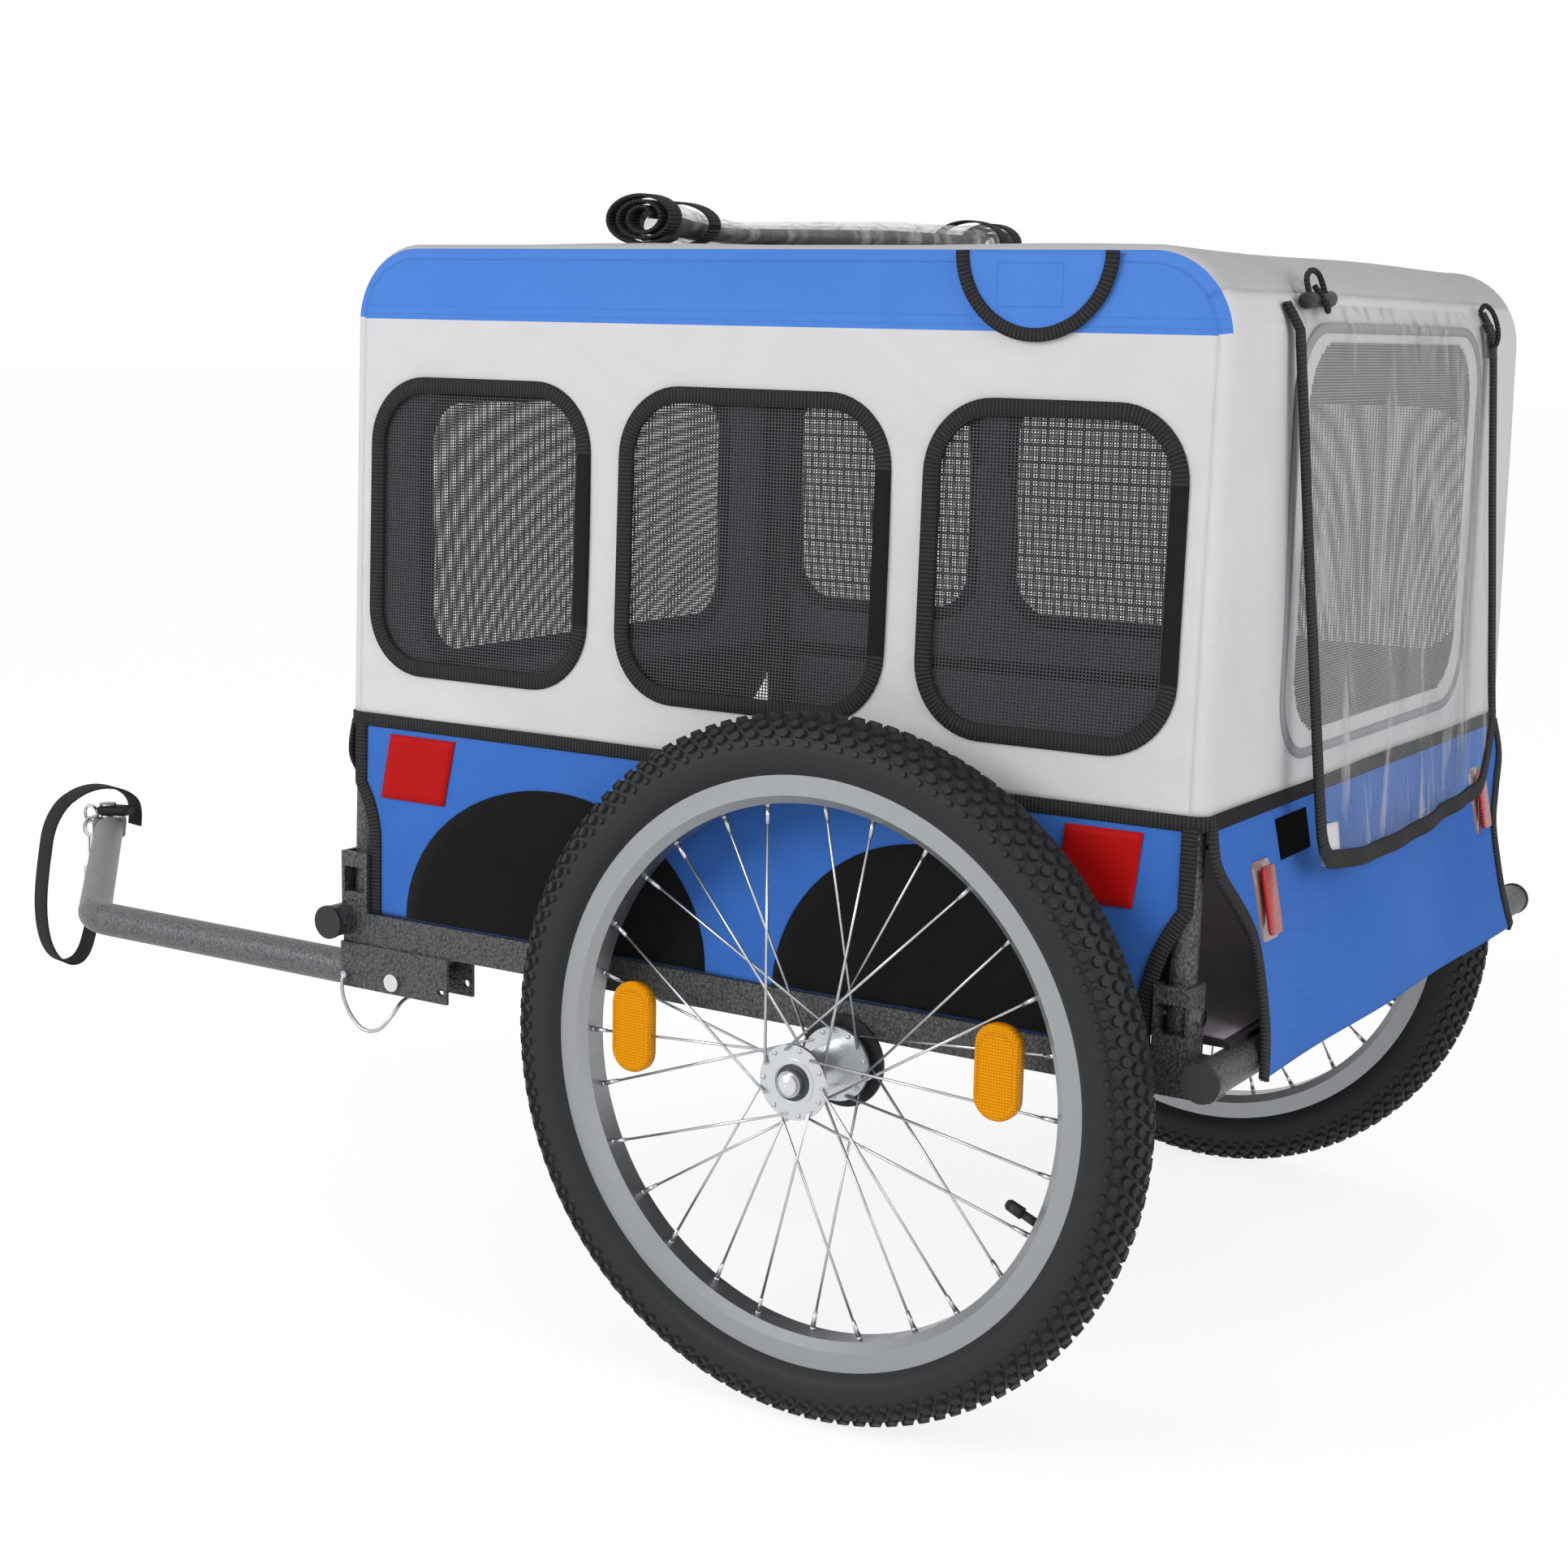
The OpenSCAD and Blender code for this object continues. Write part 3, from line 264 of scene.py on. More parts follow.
STRAP_ROUTE = [
    (-1062, 26, 236), (-1062, 27, 250), (-1063, 25, 262), (-1066, 17, 271), (-1071, 5, 277),
    (-1078, -9, 279), (-1087, -23, 275), (-1098, -35, 264), (-1106, -42, 249), (-1111, -46, 232),
    (-1114, -48, 212), (-1115, -51, 192), (-1116, -53, 172), (-1116, -54, 152), (-1115, -53, 132),
    (-1113, -49, 114), (-1109, -42, 101), (-1104, -32, 95), (-1100, -22, 97), (-1098, -14, 106),
    (-1097, -8, 121), (-1097, -3, 137), (-1097, -1, 153), (-1097, 0, 169)]
route = smoothed(STRAP_ROUTE, 4)
STRAP_CUT = 27
for name, run, body, node in (("over_hitch", route[:STRAP_CUT + 1], "drawbar", "strap_clamp"),
                              ("loop", route[STRAP_CUT:], "hanging_hook", "safety_strap")):
    binding(f"safety_strap_{name}", run, (0.97, -0.24, 0), body, 25, 2, closed=False)
    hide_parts(node)
tuple(here(*run[0]))
[tuple(here(*p)) for p in run]

# The chassis is welded steel tube under a grey hammered paint, whose skin is pitted with small darker cells.
# The cross tubes, square rails, axle receivers, hinge brackets, hoops and drawbar bracket all have it.


def pitted(name, colour, rough, light, dark, depth):
    """Hammered paint: smooth, with small darker cells that sink in."""
    finish = Finish(name, rgb(*colour), rough, 0.3, Specular_IOR_Level=0.3)
    cells = finish.node("ShaderNodeTexVoronoi", {"feature": "F1"}, Vector=finish.node(
        "ShaderNodeTexCoord", {}, output="Object"), Scale=420.0)
    finish.tint(cells, rgb(*light), rgb(*dark))
    finish.bump(cells, depth)
    return finish


def coat(finish, *names):
    for name in names:
        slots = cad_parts[name].data.materials
        slots.clear()
        slots.append(finish.material)


hammered = pitted("grey_hammered_paint", (72, 73, 74), 0.42, (98, 99, 100), (40, 41, 42), 0.0006)
coat(hammered, "front_cross_tube", "rear_cross_tube", "left_side_rail", "right_side_rail", "axle_crossbar",
     "left_axle_receiver", "right_axle_receiver", "left_front_hinge_bracket", "left_rear_hinge_bracket",
     "right_front_hinge_bracket", "right_rear_hinge_bracket", "drawbar_bracket", "left_hoop", "right_hoop")

# Black moulded plastic closes the tube ends and guards the rail behind each wheel.
# It has a fine matt grain from the mould.
plastic = Finish("black_plastic", rgb(44, 44, 47), 0.5, Specular_IOR_Level=0.25)
plastic.bump(plastic.noise(900.0), 0.0001)
coat(plastic, "tube_end_caps", "axle_guard_discs", "floor_board")

# Bolts, the hitch shackle, snap hook and axle buttons are chrome or bright zinc plate over steel.
# The lock pin and axles are duller zinc, with fine turning marks left on them.
chrome = Finish("bright_chrome", rgb(214, 214, 216), 0.16, 1.0)
chrome.set("Roughness", chrome.noise(60.0) * 0.2 + 0.08)
zinc = Finish("zinc_plate", rgb(176, 178, 182), 0.32, 0.95)
zinc.set("Roughness", zinc.noise(140.0) * 0.25 + 0.2)
coat(chrome, "hoop_pivot_bolts", "drawbar_pivot_bolt", "hitch_bolt", "hitch_shackle", "snap_hook", "snap_bolt",
     "left_axle_button", "right_axle_button")
coat(zinc, "lock_pin", "left_axle", "right_axle")

# The drawbar is 28 mm tube bent once at 45 degrees, with its front end pressed flat for the hitch bolt.
# The lock pin's wire bail is sprung round wire that clips over the tube's far side.
bar_paint = pitted("drawbar_paint", (97, 97, 100), 0.4, (116, 116, 119), (72, 72, 75), 0.0003)
coat(bar_paint, "drawbar")
bail = [(-460, -325, 242), (-461, -327, 236), (-459, -327, 222), (-450, -327, 208), (-437, -327, 200),
        (-423, -326, 203), (-414, -322, 214), (-412, -312, 224), (-414, -300, 225.5), (-420, -290, 226),
        (-436, -283, 228), (-452, -280, 236), (-460, -280, 242)]
bail = smoothed(bail, 4)
points, faces, uv = swept(bail, (0, 1, 0.01), round_outline(1.5, 8))
piece("lock_pin_wire_bail", points, faces, zinc, "lock_pin")

# The hitch end carries a folded, moulded rubber pad under the strap, held down by the hitch bolt.
# Its edges are rounded and its top has two pressed grooves.
rubber = Finish("black_rubber", rgb(34, 34, 36), 0.6, Specular_IOR_Level=0.25)
rubber.bump(rubber.noise(700.0), 0.0002)


def rounded_block(name, centre, size, turn, edge, finish, body, steps=4):
    """A block with rounded edges, made from an evenly divided box whose points are pushed onto the rounding."""
    sx, sy, sz = (s / 2 for s in size)
    count = steps + 1
    points, faces = [], []
    for axis in range(3):
        for side in (-1, 1):
            start = len(points)
            for i in range(count):
                for j in range(count):
                    # points crowd towards the edges, where the rounding is
                    ease = [math.sin((k / steps - 0.5) * math.pi) for k in (i, j)]
                    spot = np.insert(np.array(ease, float), axis, side) * (sx, sy, sz)
                    core = np.clip(spot, (edge - sx, edge - sy, edge - sz), (sx - edge, sy - edge, sz - edge))
                    away = spot - core
                    spot = core + away / max(np.linalg.norm(away), 1e-9) * edge
                    c, s = math.cos(turn), math.sin(turn)
                    points.append((centre[0] + spot[0] * c - spot[1] * s,
                                   centre[1] + spot[0] * s + spot[1] * c, centre[2] + spot[2]))
            for i in range(steps):
                for j in range(steps):
                    a = start + i * count + j
                    quad = (a, a + 1, a + count + 1, a + count)
                    faces.append(quad if (side > 0) == (axis == 1) else quad[::-1])
    made = piece(name, points, faces, finish, body)
    merge(made)
    return made


def merge(made):
    """Joins the points that lie on each other."""
    work = bmesh.new()
    work.from_mesh(made.data)
    bmesh.ops.remove_doubles(work, verts=work.verts, dist=1e-5)
    bmesh.ops.recalc_face_normals(work, faces=work.faces)
    work.to_mesh(made.data)
    work.free()


clamp = rounded_block("strap_pad", (-1064, 2.5, 254.5), (34, 22, 9), math.radians(20), 3, rubber, "drawbar")
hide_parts("strap_clamp")
head = [(-1072, -1, z) for z in (258.8, 260.2, 261.4)]
points, faces, uv = swept(head, (1, 0, 0), round_outline(8.5, 24))
piece("strap_pad_rivet_head", points, faces, zinc, "drawbar")

# Each tyre is black rubber, 500 mm over a tread of staggered knobs, with plain sidewalls that have two thin
# moulded ridges. The sidewalls carry no lettering.
tyre_rubber = Finish("tyre_rubber", rgb(35, 37, 38), 0.58, Specular_IOR_Level=0.25)
tyre_rubber.bump(tyre_rubber.noise(500.0), 0.0003)
TYRE_MIDDLE, TYRE_SECTION = 226, 22
WHEEL_Y, AXLE_Z = 357, 250


def wheel_place(side, radius, angle, out):
    """A place on a wheel: out is towards the outside of the trailer. side is -1 on the left and 1 on the right."""
    return radius * math.cos(angle), side * (WHEEL_Y + out), AXLE_Z + radius * math.sin(angle)


def tyre_carcass():
    """Radius and offset round the tyre's section, from one bead over the tread to the other."""
    section = [(209, -14.6), (211.5, -15.5)]
    for step in range(29):
        lean = math.radians(-148 + 296 * step / 28)
        size = TYRE_SECTION + (1.0 if abs(abs(math.degrees(lean)) - 112) < 6 else 0.0)
        section.append((TYRE_MIDDLE + size * math.cos(lean), (TYRE_SECTION + 1.4) / TYRE_SECTION * size
                        * math.sin(lean)))
    return section + [(211.5, 15.5), (209, 14.6)]


for side, name in ((-1, "left"), (1, "right")):
    ring, count = tyre_carcass(), 144
    points = [wheel_place(side, r, 2 * math.pi * i / count, o) for i in range(count) for r, o in ring]
    faces = shell(count, len(ring), closed=True)
    rows = [(0, 0, 9, 6.5), (21, 0.5, 9, 6.5), (-21, 0.5, 9, 6.5), (40, 0, 8, 6), (-40, 0, 8, 6),
            (58, 0.5, 9, 6), (-58, 0.5, 9, 6), (74, 0, 6, 4.2), (-74, 0, 6, 4.2)]
    knobs = 116
    for lean, shift, long, broad in rows:
        lean = math.radians(lean)
        high = 3.0 if abs(lean) < 1.2 else 1.8
        for i in range(knobs):
            angle = 2 * math.pi * (i + shift) / knobs
            start = len(points)
            for rise, shrink in ((-0.6, 1.08), (high, 0.84)):
                size = TYRE_SECTION + rise
                for k in range(6):
                    turn = math.radians(60 * k)
                    a = lean + math.sin(turn) * broad / 2 * 1.1 * shrink / TYRE_SECTION
                    b = angle + math.cos(turn) * long / 2 * 1.1 * shrink / 245
                    points.append(wheel_place(side, TYRE_MIDDLE + size * math.cos(a), b,
                                              size * 1.06 * math.sin(a)))
            faces += shell(2, 6, start)
            faces.append(tuple(start + 6 + k for k in range(6)))
    tyre = piece(name + "_tyre_rubber", points, faces, tyre_rubber, name + "_wheel", smooth=False)
    merge(tyre)
    tyre.data.polygons.foreach_set("use_smooth", [len(p.vertices) == 4 and p.area > 3e-5 for p in tyre.data.polygons])
    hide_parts(name + "_tyre")

# The rims are extruded aluminium hoops with machined sides, and the hubs are cast aluminium with a sealed bearing
# pressed in each end. Turning leaves faint rings on both.
alloy = Finish("silver_alloy", rgb(152, 155, 157), 0.36, 0.85)
alloy.set("Roughness", alloy.noise(90.0) * 0.2 + 0.26)
coat(alloy, "left_rim", "right_rim")
cast = Finish("cast_hub_alloy", rgb(200, 203, 205), 0.3, 0.85)
cast.bump(cast.noise(300.0), 0.0001)
coat(cast, "left_hub", "right_hub")
seal = Finish("bearing_seal", rgb(60, 62, 64), 0.4, 0.2)
for side, name in ((-1, "left"), (1, "right")):
    ring = [(9.6, 31.6), (9.6, 32.0), (12.8, 32.0), (12.8, 31.6)]
    points = [wheel_place(side, r, 2 * math.pi * i / 48, o) for i in range(48) for r, o in ring]
    piece(name + "_bearing_seal", points, shell(48, 4, closed=True), seal, name + "_wheel",
          smooth=False)

# Each wheel has 28 steel spokes of 2 mm wire, laced two cross: hooked through the flanges, with brass nipples,
# nickel plated, at the rim. The valve is a rubber stem with a plastic cap.
spoke_steel = Finish("spoke_steel", rgb(190, 192, 195), 0.25, 0.95)
spoke_steel.set("Roughness", spoke_steel.noise(80.0) * 0.2 + 0.16)


def rod(points, faces, a, b, radius, tip=None, count=8):
    """Adds a round rod from a to b to a mesh in the making."""
    a, b = np.array(a, float), np.array(b, float)
    line = unit(b - a)
    first = unit(np.cross(line, (0.3, 1, 0.2)))
    second = np.cross(line, first)
    start = len(points)
    for spot, size in ((a, radius), (b, tip if tip is not None else radius)):
        for k in range(count):
            turn = 2 * math.pi * k / count
            points.append(spot + (first * math.cos(turn) + second * math.sin(turn)) * size)
    faces += shell(2, count, start, capped=True)


for side, name in ((-1, "left"), (1, "right")):
    points, faces = [], []
    for inboard in (0, 1):
        for j in range(14):
            lead = 1 if j % 2 == 0 else -1
            flange = -26 if inboard else 29.5
            rim_turn = 2 * math.pi * (j + 0.5 * inboard) / 14
            hub_turn = rim_turn + lead * 2 * math.pi * 2 / 14
            offset = (3.6 if lead > 0 else -2.6) * (-1 if inboard else 1)
            a = np.array(wheel_place(side, 23.5, hub_turn, flange + offset))
            b = np.array(wheel_place(side, 189, rim_turn, -3 if inboard else 3))
            line = unit(b - a)
            rod(points, faces, a, b, 1.0)
            rod(points, faces, b - line * 14, b - line * 2, 1.4, 1.9)
            rod(points, faces, b - line * 2, b, 2.1)
            inner = np.array(wheel_place(side, 23.5, hub_turn, flange))
            rod(points, faces, a, inner, 1.0)
            head = unit(inner - a)
            rod(points, faces, inner + head * 1.5, inner + head * 2.6, 1.9, 1.3)
    spokes = piece(name + "_spokes_and_nipples", points, faces, spoke_steel, name + "_wheel")
    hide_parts(name + "_spokes")
    points, faces = [], []
    valve_turn = math.radians(-23)
    spots = [np.array(wheel_place(side, r, valve_turn, 0)) for r in (189, 176, 176, 165, 163)]
    rod(points, faces, spots[0], spots[1], 3.1, 2.9, 16)
    rod(points, faces, spots[2], spots[3], 4.3, 4.0, 16)
    rod(points, faces, spots[3], spots[4], 4.0, 2.6, 16)
    piece(name + "_valve_and_cap", points, faces, plastic, name + "_wheel")

# The amber spoke reflectors are oval, moulded in one piece with a plain raised rim round a face of small prisms,
# and clip onto the outboard spokes.
amber = Finish("amber_reflector", rgb(240, 150, 4), 0.3, Specular_IOR_Level=0.08)
x, y, z = amber.place()
prisms = ((x + z) * 1500).sine() * ((x - z) * 1500).sine()
# Painted glints and shade: the colour is lighter on the raised prisms and darker between them, in step with their bump.
amber.tint(prisms * 0.5 + 0.5, rgb(226, 132, 2), rgb(252, 176, 8))
amber.bump(prisms, 0.0006)


def plate(name, centre, across_dir, up_dir, outline, thick, finish, body, bulge=0.0, rim=0.0):
    """A flat moulding from an outline: its front is bulged, and a raised rim can run round it."""
    centre, u, v = np.array(centre, float), unit(np.array(across_dir, float)), unit(np.array(up_dir, float))
    face = np.cross(u, v)
    rings = [(1.0, 0.0), (1.0, thick * 0.8), (0.95, thick)]
    rings += [(0.84, thick), (0.8, thick - rim)] if rim else []
    rings += [(share, thick - rim + bulge * (1 - share * share)) for share in (0.7, 0.5, 0.3, 0.1)]
    points = [centre + u * a * share + v * b * share + face * h for share, h in rings for a, b in outline]
    return piece(name, points, shell(len(rings), len(outline), capped=True), finish, body)


def rounded_rectangle(width, height, radius, count=8):
    """The outline of a rectangle with rounded corners, anticlockwise."""
    spots = []
    for corner in range(4):
        cx = (width / 2 - radius) * (1 if corner in (0, 3) else -1)
        cy = (height / 2 - radius) * (1 if corner in (0, 1) else -1)
        for k in range(count + 1):
            turn = math.radians(90 * corner + 90 * k / count)
            spots.append((cx + radius * math.cos(turn), cy + radius * math.sin(turn)))
    return spots


for side, name in ((-1, "left"), (1, "right")):
    for number, degrees in enumerate((176, 11)):
        middle = wheel_place(side, 148, math.radians(degrees), 6)
        outline = rounded_rectangle(33, 66, 15.5)
        plate(f"{name}_spoke_reflector_{number + 1}", middle, (-side, 0, 0), (0, 0, 1), outline, 8.5, amber,
              name + "_wheel", bulge=1.0, rim=1.2)

# The cover is sewn from a light grey polyester cloth with a fine plain weave; its inside face is drawn in a darker
# grey-mauve, as painted shade.
# Its roof edges are blue. Everything below is cut to the same outline, which leans in a little as it rises.
WAIST, EDGE, SHOULDER, ROOF = 451.0, 12.0, 752.0, 812.0
BAND = 756
FRONT, REAR = -465.5, 258.5


def half_width(z):
    return 311 - (min(z, SHOULDER) - 445) * 9.5 / 307


def woven(name, colour, rough=0.82, spread=6, pitch=5236, creases=0.004, mark=None):
    """Plain-woven cloth: threads along each axis, a slow drift of colour, and soft creases."""
    finish = Finish(name, rgb(*colour), rough, Sheen_Weight=0.03, Specular_IOR_Level=0.12)
    x, y, z = finish.place()
    threads = (x * pitch).sine() + (y * pitch).sine() + (z * pitch).sine()
    drift = finish.noise(7.0, 3.0)
    # The threads' small share of the tint lightens their crests, a painted highlight in step with their bump; the drift
    # is the cloth's own uneven tone.
    amount = drift * 0.8 + threads * 0.05
    if mark:
        amount = amount - mark(finish, x, y, z) * 2.4
    finish.tint(amount, rgb(*(max(c - spread * 2, 0) for c in colour)), rgb(*(min(c + spread, 255) for c in colour)))
    finish.bump(threads * 0.012 + finish.noise(16.0, 4.0) * (creases / 0.0012), 0.0012)
    return finish


def thread_rows(*heights):
    """Rows of stitching at these heights above the ground, in metres."""
    def mark(finish, x, y, z):
        rows = sum(((z - h).size() < 0.0006 for h in heights[1:]), (z - heights[0]).size() < 0.0006)
        return rows * ((x * 2100).sine() > -0.5)
    return mark


grey = woven("grey_polyester", (208, 206, 209))
# Painted shade: the roof takes the same grey cloth drawn darker, because the roof lies in less light than the sides.
roof_grey_painted_shade = woven("roof_polyester_painted_shade", (184, 183, 186))
blue = woven("blue_polyester", (78, 129, 209), mark=thread_rows(0.760, 0.766))
skirt_blue = woven("skirt_polyester", (60, 110, 190), spread=7)
# Painted shade: the inside of the cover and the floor liner are the grey cloth drawn darker and tinted grey-mauve, for
# the shade inside the trailer.
liner = woven("liner_cloth_painted_shade", (150, 141, 150), rough=0.7)


def skin(name, grid, finish, body, thick=1.2, keep=None, second=None, picks=None, inside=None,
         lost=None, flat=None):
    """A sewn sheet from a grid of points on its outer face: two faces and every open edge closed between them."""
    grid = np.array(grid, float)
    rows, columns = grid.shape[:2]
    down, along = np.gradient(grid, axis=0), np.gradient(grid, axis=1)
    outward = unit(np.cross(along, down))
    if lost is not None:
        outward = outward * lost
    points = np.vstack([grid.reshape(-1, 3), (grid - outward * thick).reshape(-1, 3)])
    total, faces, marks, edges, area = rows * columns, [], [], {}, 0.0
    for i in range(rows - 1):
        for j in range(columns - 1):
            if keep is not None and not keep[i][j]:
                continue
            quad = (i * columns + j, (i + 1) * columns + j, (i + 1) * columns + j + 1, i * columns + j + 1)
            area += np.linalg.norm(np.cross(points[quad[2]] - points[quad[0]], points[quad[3]] - points[quad[1]])) / 2
            mark = 1 if picks is not None and picks[i][j] else 0
            faces.append(quad)
            faces.append(tuple(total + k for k in reversed(quad)))
            marks += [mark, 2 if inside else mark]
            for k in range(4):
                edge = (quad[k], quad[(k + 1) % 4])
                if (edge[1], edge[0]) in edges:
                    del edges[edge[1], edge[0]]
                else:
                    edges[edge] = mark
    for (a, b), mark in edges.items():
        faces.append((b, a, total + a, total + b))
        marks.append(mark)
    used = sorted({k for f in faces for k in f})
    place = {k: n for n, k in enumerate(used)}
    faces = [tuple(place[k] for k in f) for f in faces]
    made = piece(name, points[used], faces, finish, body)
    for extra in ([second] if second else []) + ([inside] if inside else []):
        made.data.materials.append(extra.material)
    if inside and not second:
        marks = [1 if m == 2 else m for m in marks]
    made.data.polygons.foreach_set("material_index", marks)
    merge(made)
    if flat is None:
        flat = (np.linalg.norm(np.diff(grid, axis=1), axis=2).sum(1).max() / 1000,
                np.linalg.norm(np.diff(grid, axis=0), axis=2).sum(0).max() / 1000)
    return made


def outline_run():
    """The cover's outline from the front waist over the roof to the rear waist: place and outward direction."""
    run = [(FRONT, z, -1.0, 0.0) for z in np.linspace(WAIST, SHOULDER, 40)]
    run += [(FRONT + 60 - 60 * math.cos(t), SHOULDER + 60 * math.sin(t), -math.cos(t), math.sin(t))
            for t in np.linspace(0, math.pi / 2, 17)[1:]]
    run += [(x, ROOF, 0.0, 1.0) for x in np.linspace(FRONT + 60, REAR - 60, 70)[1:]]
    run += [(REAR - 60 + 60 * math.sin(t), SHOULDER + 60 * math.cos(t), math.sin(t), math.cos(t))
            for t in np.linspace(0, math.pi / 2, 17)[1:]]
    run += [(REAR, z, 1.0, 0.0) for z in np.linspace(SHOULDER, WAIST, 40)[1:]]
    return np.array(run)


EDGE_TURNS = [math.radians(t) for t in (0, 15, 30, 45, 60, 75, 90)]


def wrapped(run, middle=60):
    """Points over the cover, from its left face round the edge, across, and round to its right face."""
    rows = []
    for x, z, out_x, out_z in run:
        wide = half_width(z)
        cross = [(-(wide - EDGE + EDGE * math.cos(t)), EDGE * (1 - math.sin(t))) for t in EDGE_TURNS]
        cross += [(y, 0.0) for y in np.linspace(-(wide - EDGE), wide - EDGE, middle)[1:-1]]
        cross += [(wide - EDGE + EDGE * math.cos(t), EDGE * (1 - math.sin(t))) for t in reversed(EDGE_TURNS)]
        # cloth pulled over the frame lies in slow waves of a millimetre or so
        rows.append([(x - out_x * (inset + 0.8 * math.sin(y / 47 + z / 61) * (inset == 0)), y,
                      z - out_z * (inset + 0.9 * math.sin(y / 71 + x / 53) * (inset == 0))) for y, inset in cross])
    return np.array(rows)


def flatten(made):
    """Gives a soft part of the cover its own copy of its mesh data."""
    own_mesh(made)


run = outline_run()
front_rows, rear_rows = run[(run[:, 2] < -0.5) & (run[:, 1] <= 787)], run[(run[:, 2] > 0.5) & (run[:, 1] <= 787)]
roof_rows = run[run[:, 1] >= 783]
BLUE_COLUMNS = 3


def edge_blue(grid):
    """The blue side band takes in the first part of the rounded edge."""
    columns = grid.shape[1] - 1
    return [[min(j, columns - 1 - j) < BLUE_COLUMNS and grid[i, j, 2] + grid[i + 1, j, 2] > 2 * BAND - 1
             for j in range(columns)] for i in range(grid.shape[0] - 1)]


def rounded_inside(a, b, width, height, radius):
    """Whether a place is inside a rounded rectangle about the origin."""
    a, b = abs(a), abs(b)
    if a > width / 2 or b > height / 2:
        return False
    u, v = a - (width / 2 - radius), b - (height / 2 - radius)
    return not (u > 0 and v > 0 and u * u + v * v > radius * radius)


def by_cell(grid, rule):
    """What a rule says of the middle of each cell of a grid of points."""
    return [[rule(*m) for m in row] for row in (grid[:-1, :-1] + grid[1:, 1:]) / 2]


def past(a, reach):
    """How far a lies past reach on either side."""
    return a - max(min(a, reach), -reach)


def pane_faces(count, width, height, radius, start=0):
    """Faces of a square grid of points, count cells each way, that lie inside a rounded rectangle."""
    rise = count + 1
    return [(start + i * rise + j, start + i * rise + j + 1, start + (i + 1) * rise + j + 1, start + (i + 1) * rise + j)
            for i in range(count) for j in range(count)
            if rounded_inside(width * ((i + 0.5) / count - 0.5), height * ((j + 0.5) / count - 0.5), width, height,
                              radius)]


# The roof is one cloth that runs over the hoops from end to end, drawn in a darker grey as painted shade. It has a mesh
# opening under the rolled vinyl cover, edged in webbing.
grid = wrapped(roof_rows)
ROOF_OPEN = (-20.0, 260.0, 380.0)
keep = by_cell(grid, lambda x, y, z: z <= 805 or not rounded_inside(x - ROOF_OPEN[0], y, *ROOF_OPEN[1:], 30))
roof = skin("roof_cloth", grid, roof_grey_painted_shade, "base", keep=keep, second=blue, picks=edge_blue(grid),
            inside=liner, lost=-1)
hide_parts("roof_panel")
ring = rounded_rectangle(ROOF_OPEN[1] + 6, ROOF_OPEN[2] + 6, 33, 10)
path = [(ROOF_OPEN[0] + a, b, ROOF - 1.4) for a, b in ring]
sides = [(past(a, 100), past(b, 160), 0) for a, b in ring]
roof_edge = binding("roof_opening_binding", path, sides, "base")

# The front panel is one cloth with a wide mesh window edged in webbing. It turns the corners of the cover and is
# sewn to the side panels there.
grid = wrapped(front_rows)
FRONT_OPEN = (589.0, 435.0, 216.0, 43.0)
keep = by_cell(grid, lambda x, y, z: abs(x - FRONT) >= 4 or not rounded_inside(y, z - FRONT_OPEN[0], *FRONT_OPEN[1:]))
front = skin("front_cloth", grid, grey, "base", keep=keep, second=blue, picks=edge_blue(grid),
             inside=liner, lost=-1)
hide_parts("front_panel")
ring = rounded_rectangle(FRONT_OPEN[1], FRONT_OPEN[2], FRONT_OPEN[3], 10)
path = [(FRONT + 0.6, a, FRONT_OPEN[0] + b) for a, b in ring]
sides = [(0, past(a, 170), past(b, 60)) for a, b in ring]
front_edge = binding("front_window_binding", path, sides, "base")

# The rear panel is one cloth that turns the corners like the front one. It frames a doorway, whose edge carries the
# zip of the mesh door.
grid = wrapped(rear_rows)
DOORWAY_Z, DOORWAY = 621.5, (370, 279, 44)
keep = by_cell(grid, lambda x, y, z: abs(x - REAR) >= 4 or not rounded_inside(y, z - DOORWAY_Z, *DOORWAY))
rear = skin("rear_cloth", grid, grey, "base", keep=keep, second=blue, picks=edge_blue(grid),
            inside=liner, lost=-1)
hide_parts("rear_panel")
for made in (roof, roof_edge, front, front_edge, rear):
    flatten(made)

# Each side panel hangs on its own hoop. It has three mesh windows with rounded corners, edged in ribbed webbing,
# and a blue band sewn along its top with two rows of stitching.
WINDOWS = [(-443, 206), (-209, 224), (42, 190)]
LOW, HIGH = 486.0, 712.0


def mesh_cloth(name, first, second, pitch=2.6, open_share=0.22, dark=(30, 30, 32), pale=(70, 71, 74)):
    """Open polyester mesh: dark threads along two axes, with clear holes between them. Each thread is painted paler
    along its crest, as a highlight.
    """
    finish = Finish(name, rgb(*dark), 0.7, Specular_IOR_Level=0.15)
    place = finish.place()
    a, b = place["XYZ".index(first)], place["XYZ".index(second)]
    k = 2 * math.pi / (pitch / 1000)
    threads = (a * k).sine().clear_of((b * k * 1.15).sine())
    finish.set("Alpha", threads > open_share)
    # The pale colour along each thread's crest is a painted highlight.
    finish.tint(threads, rgb(*dark), rgb(*pale))
    return finish


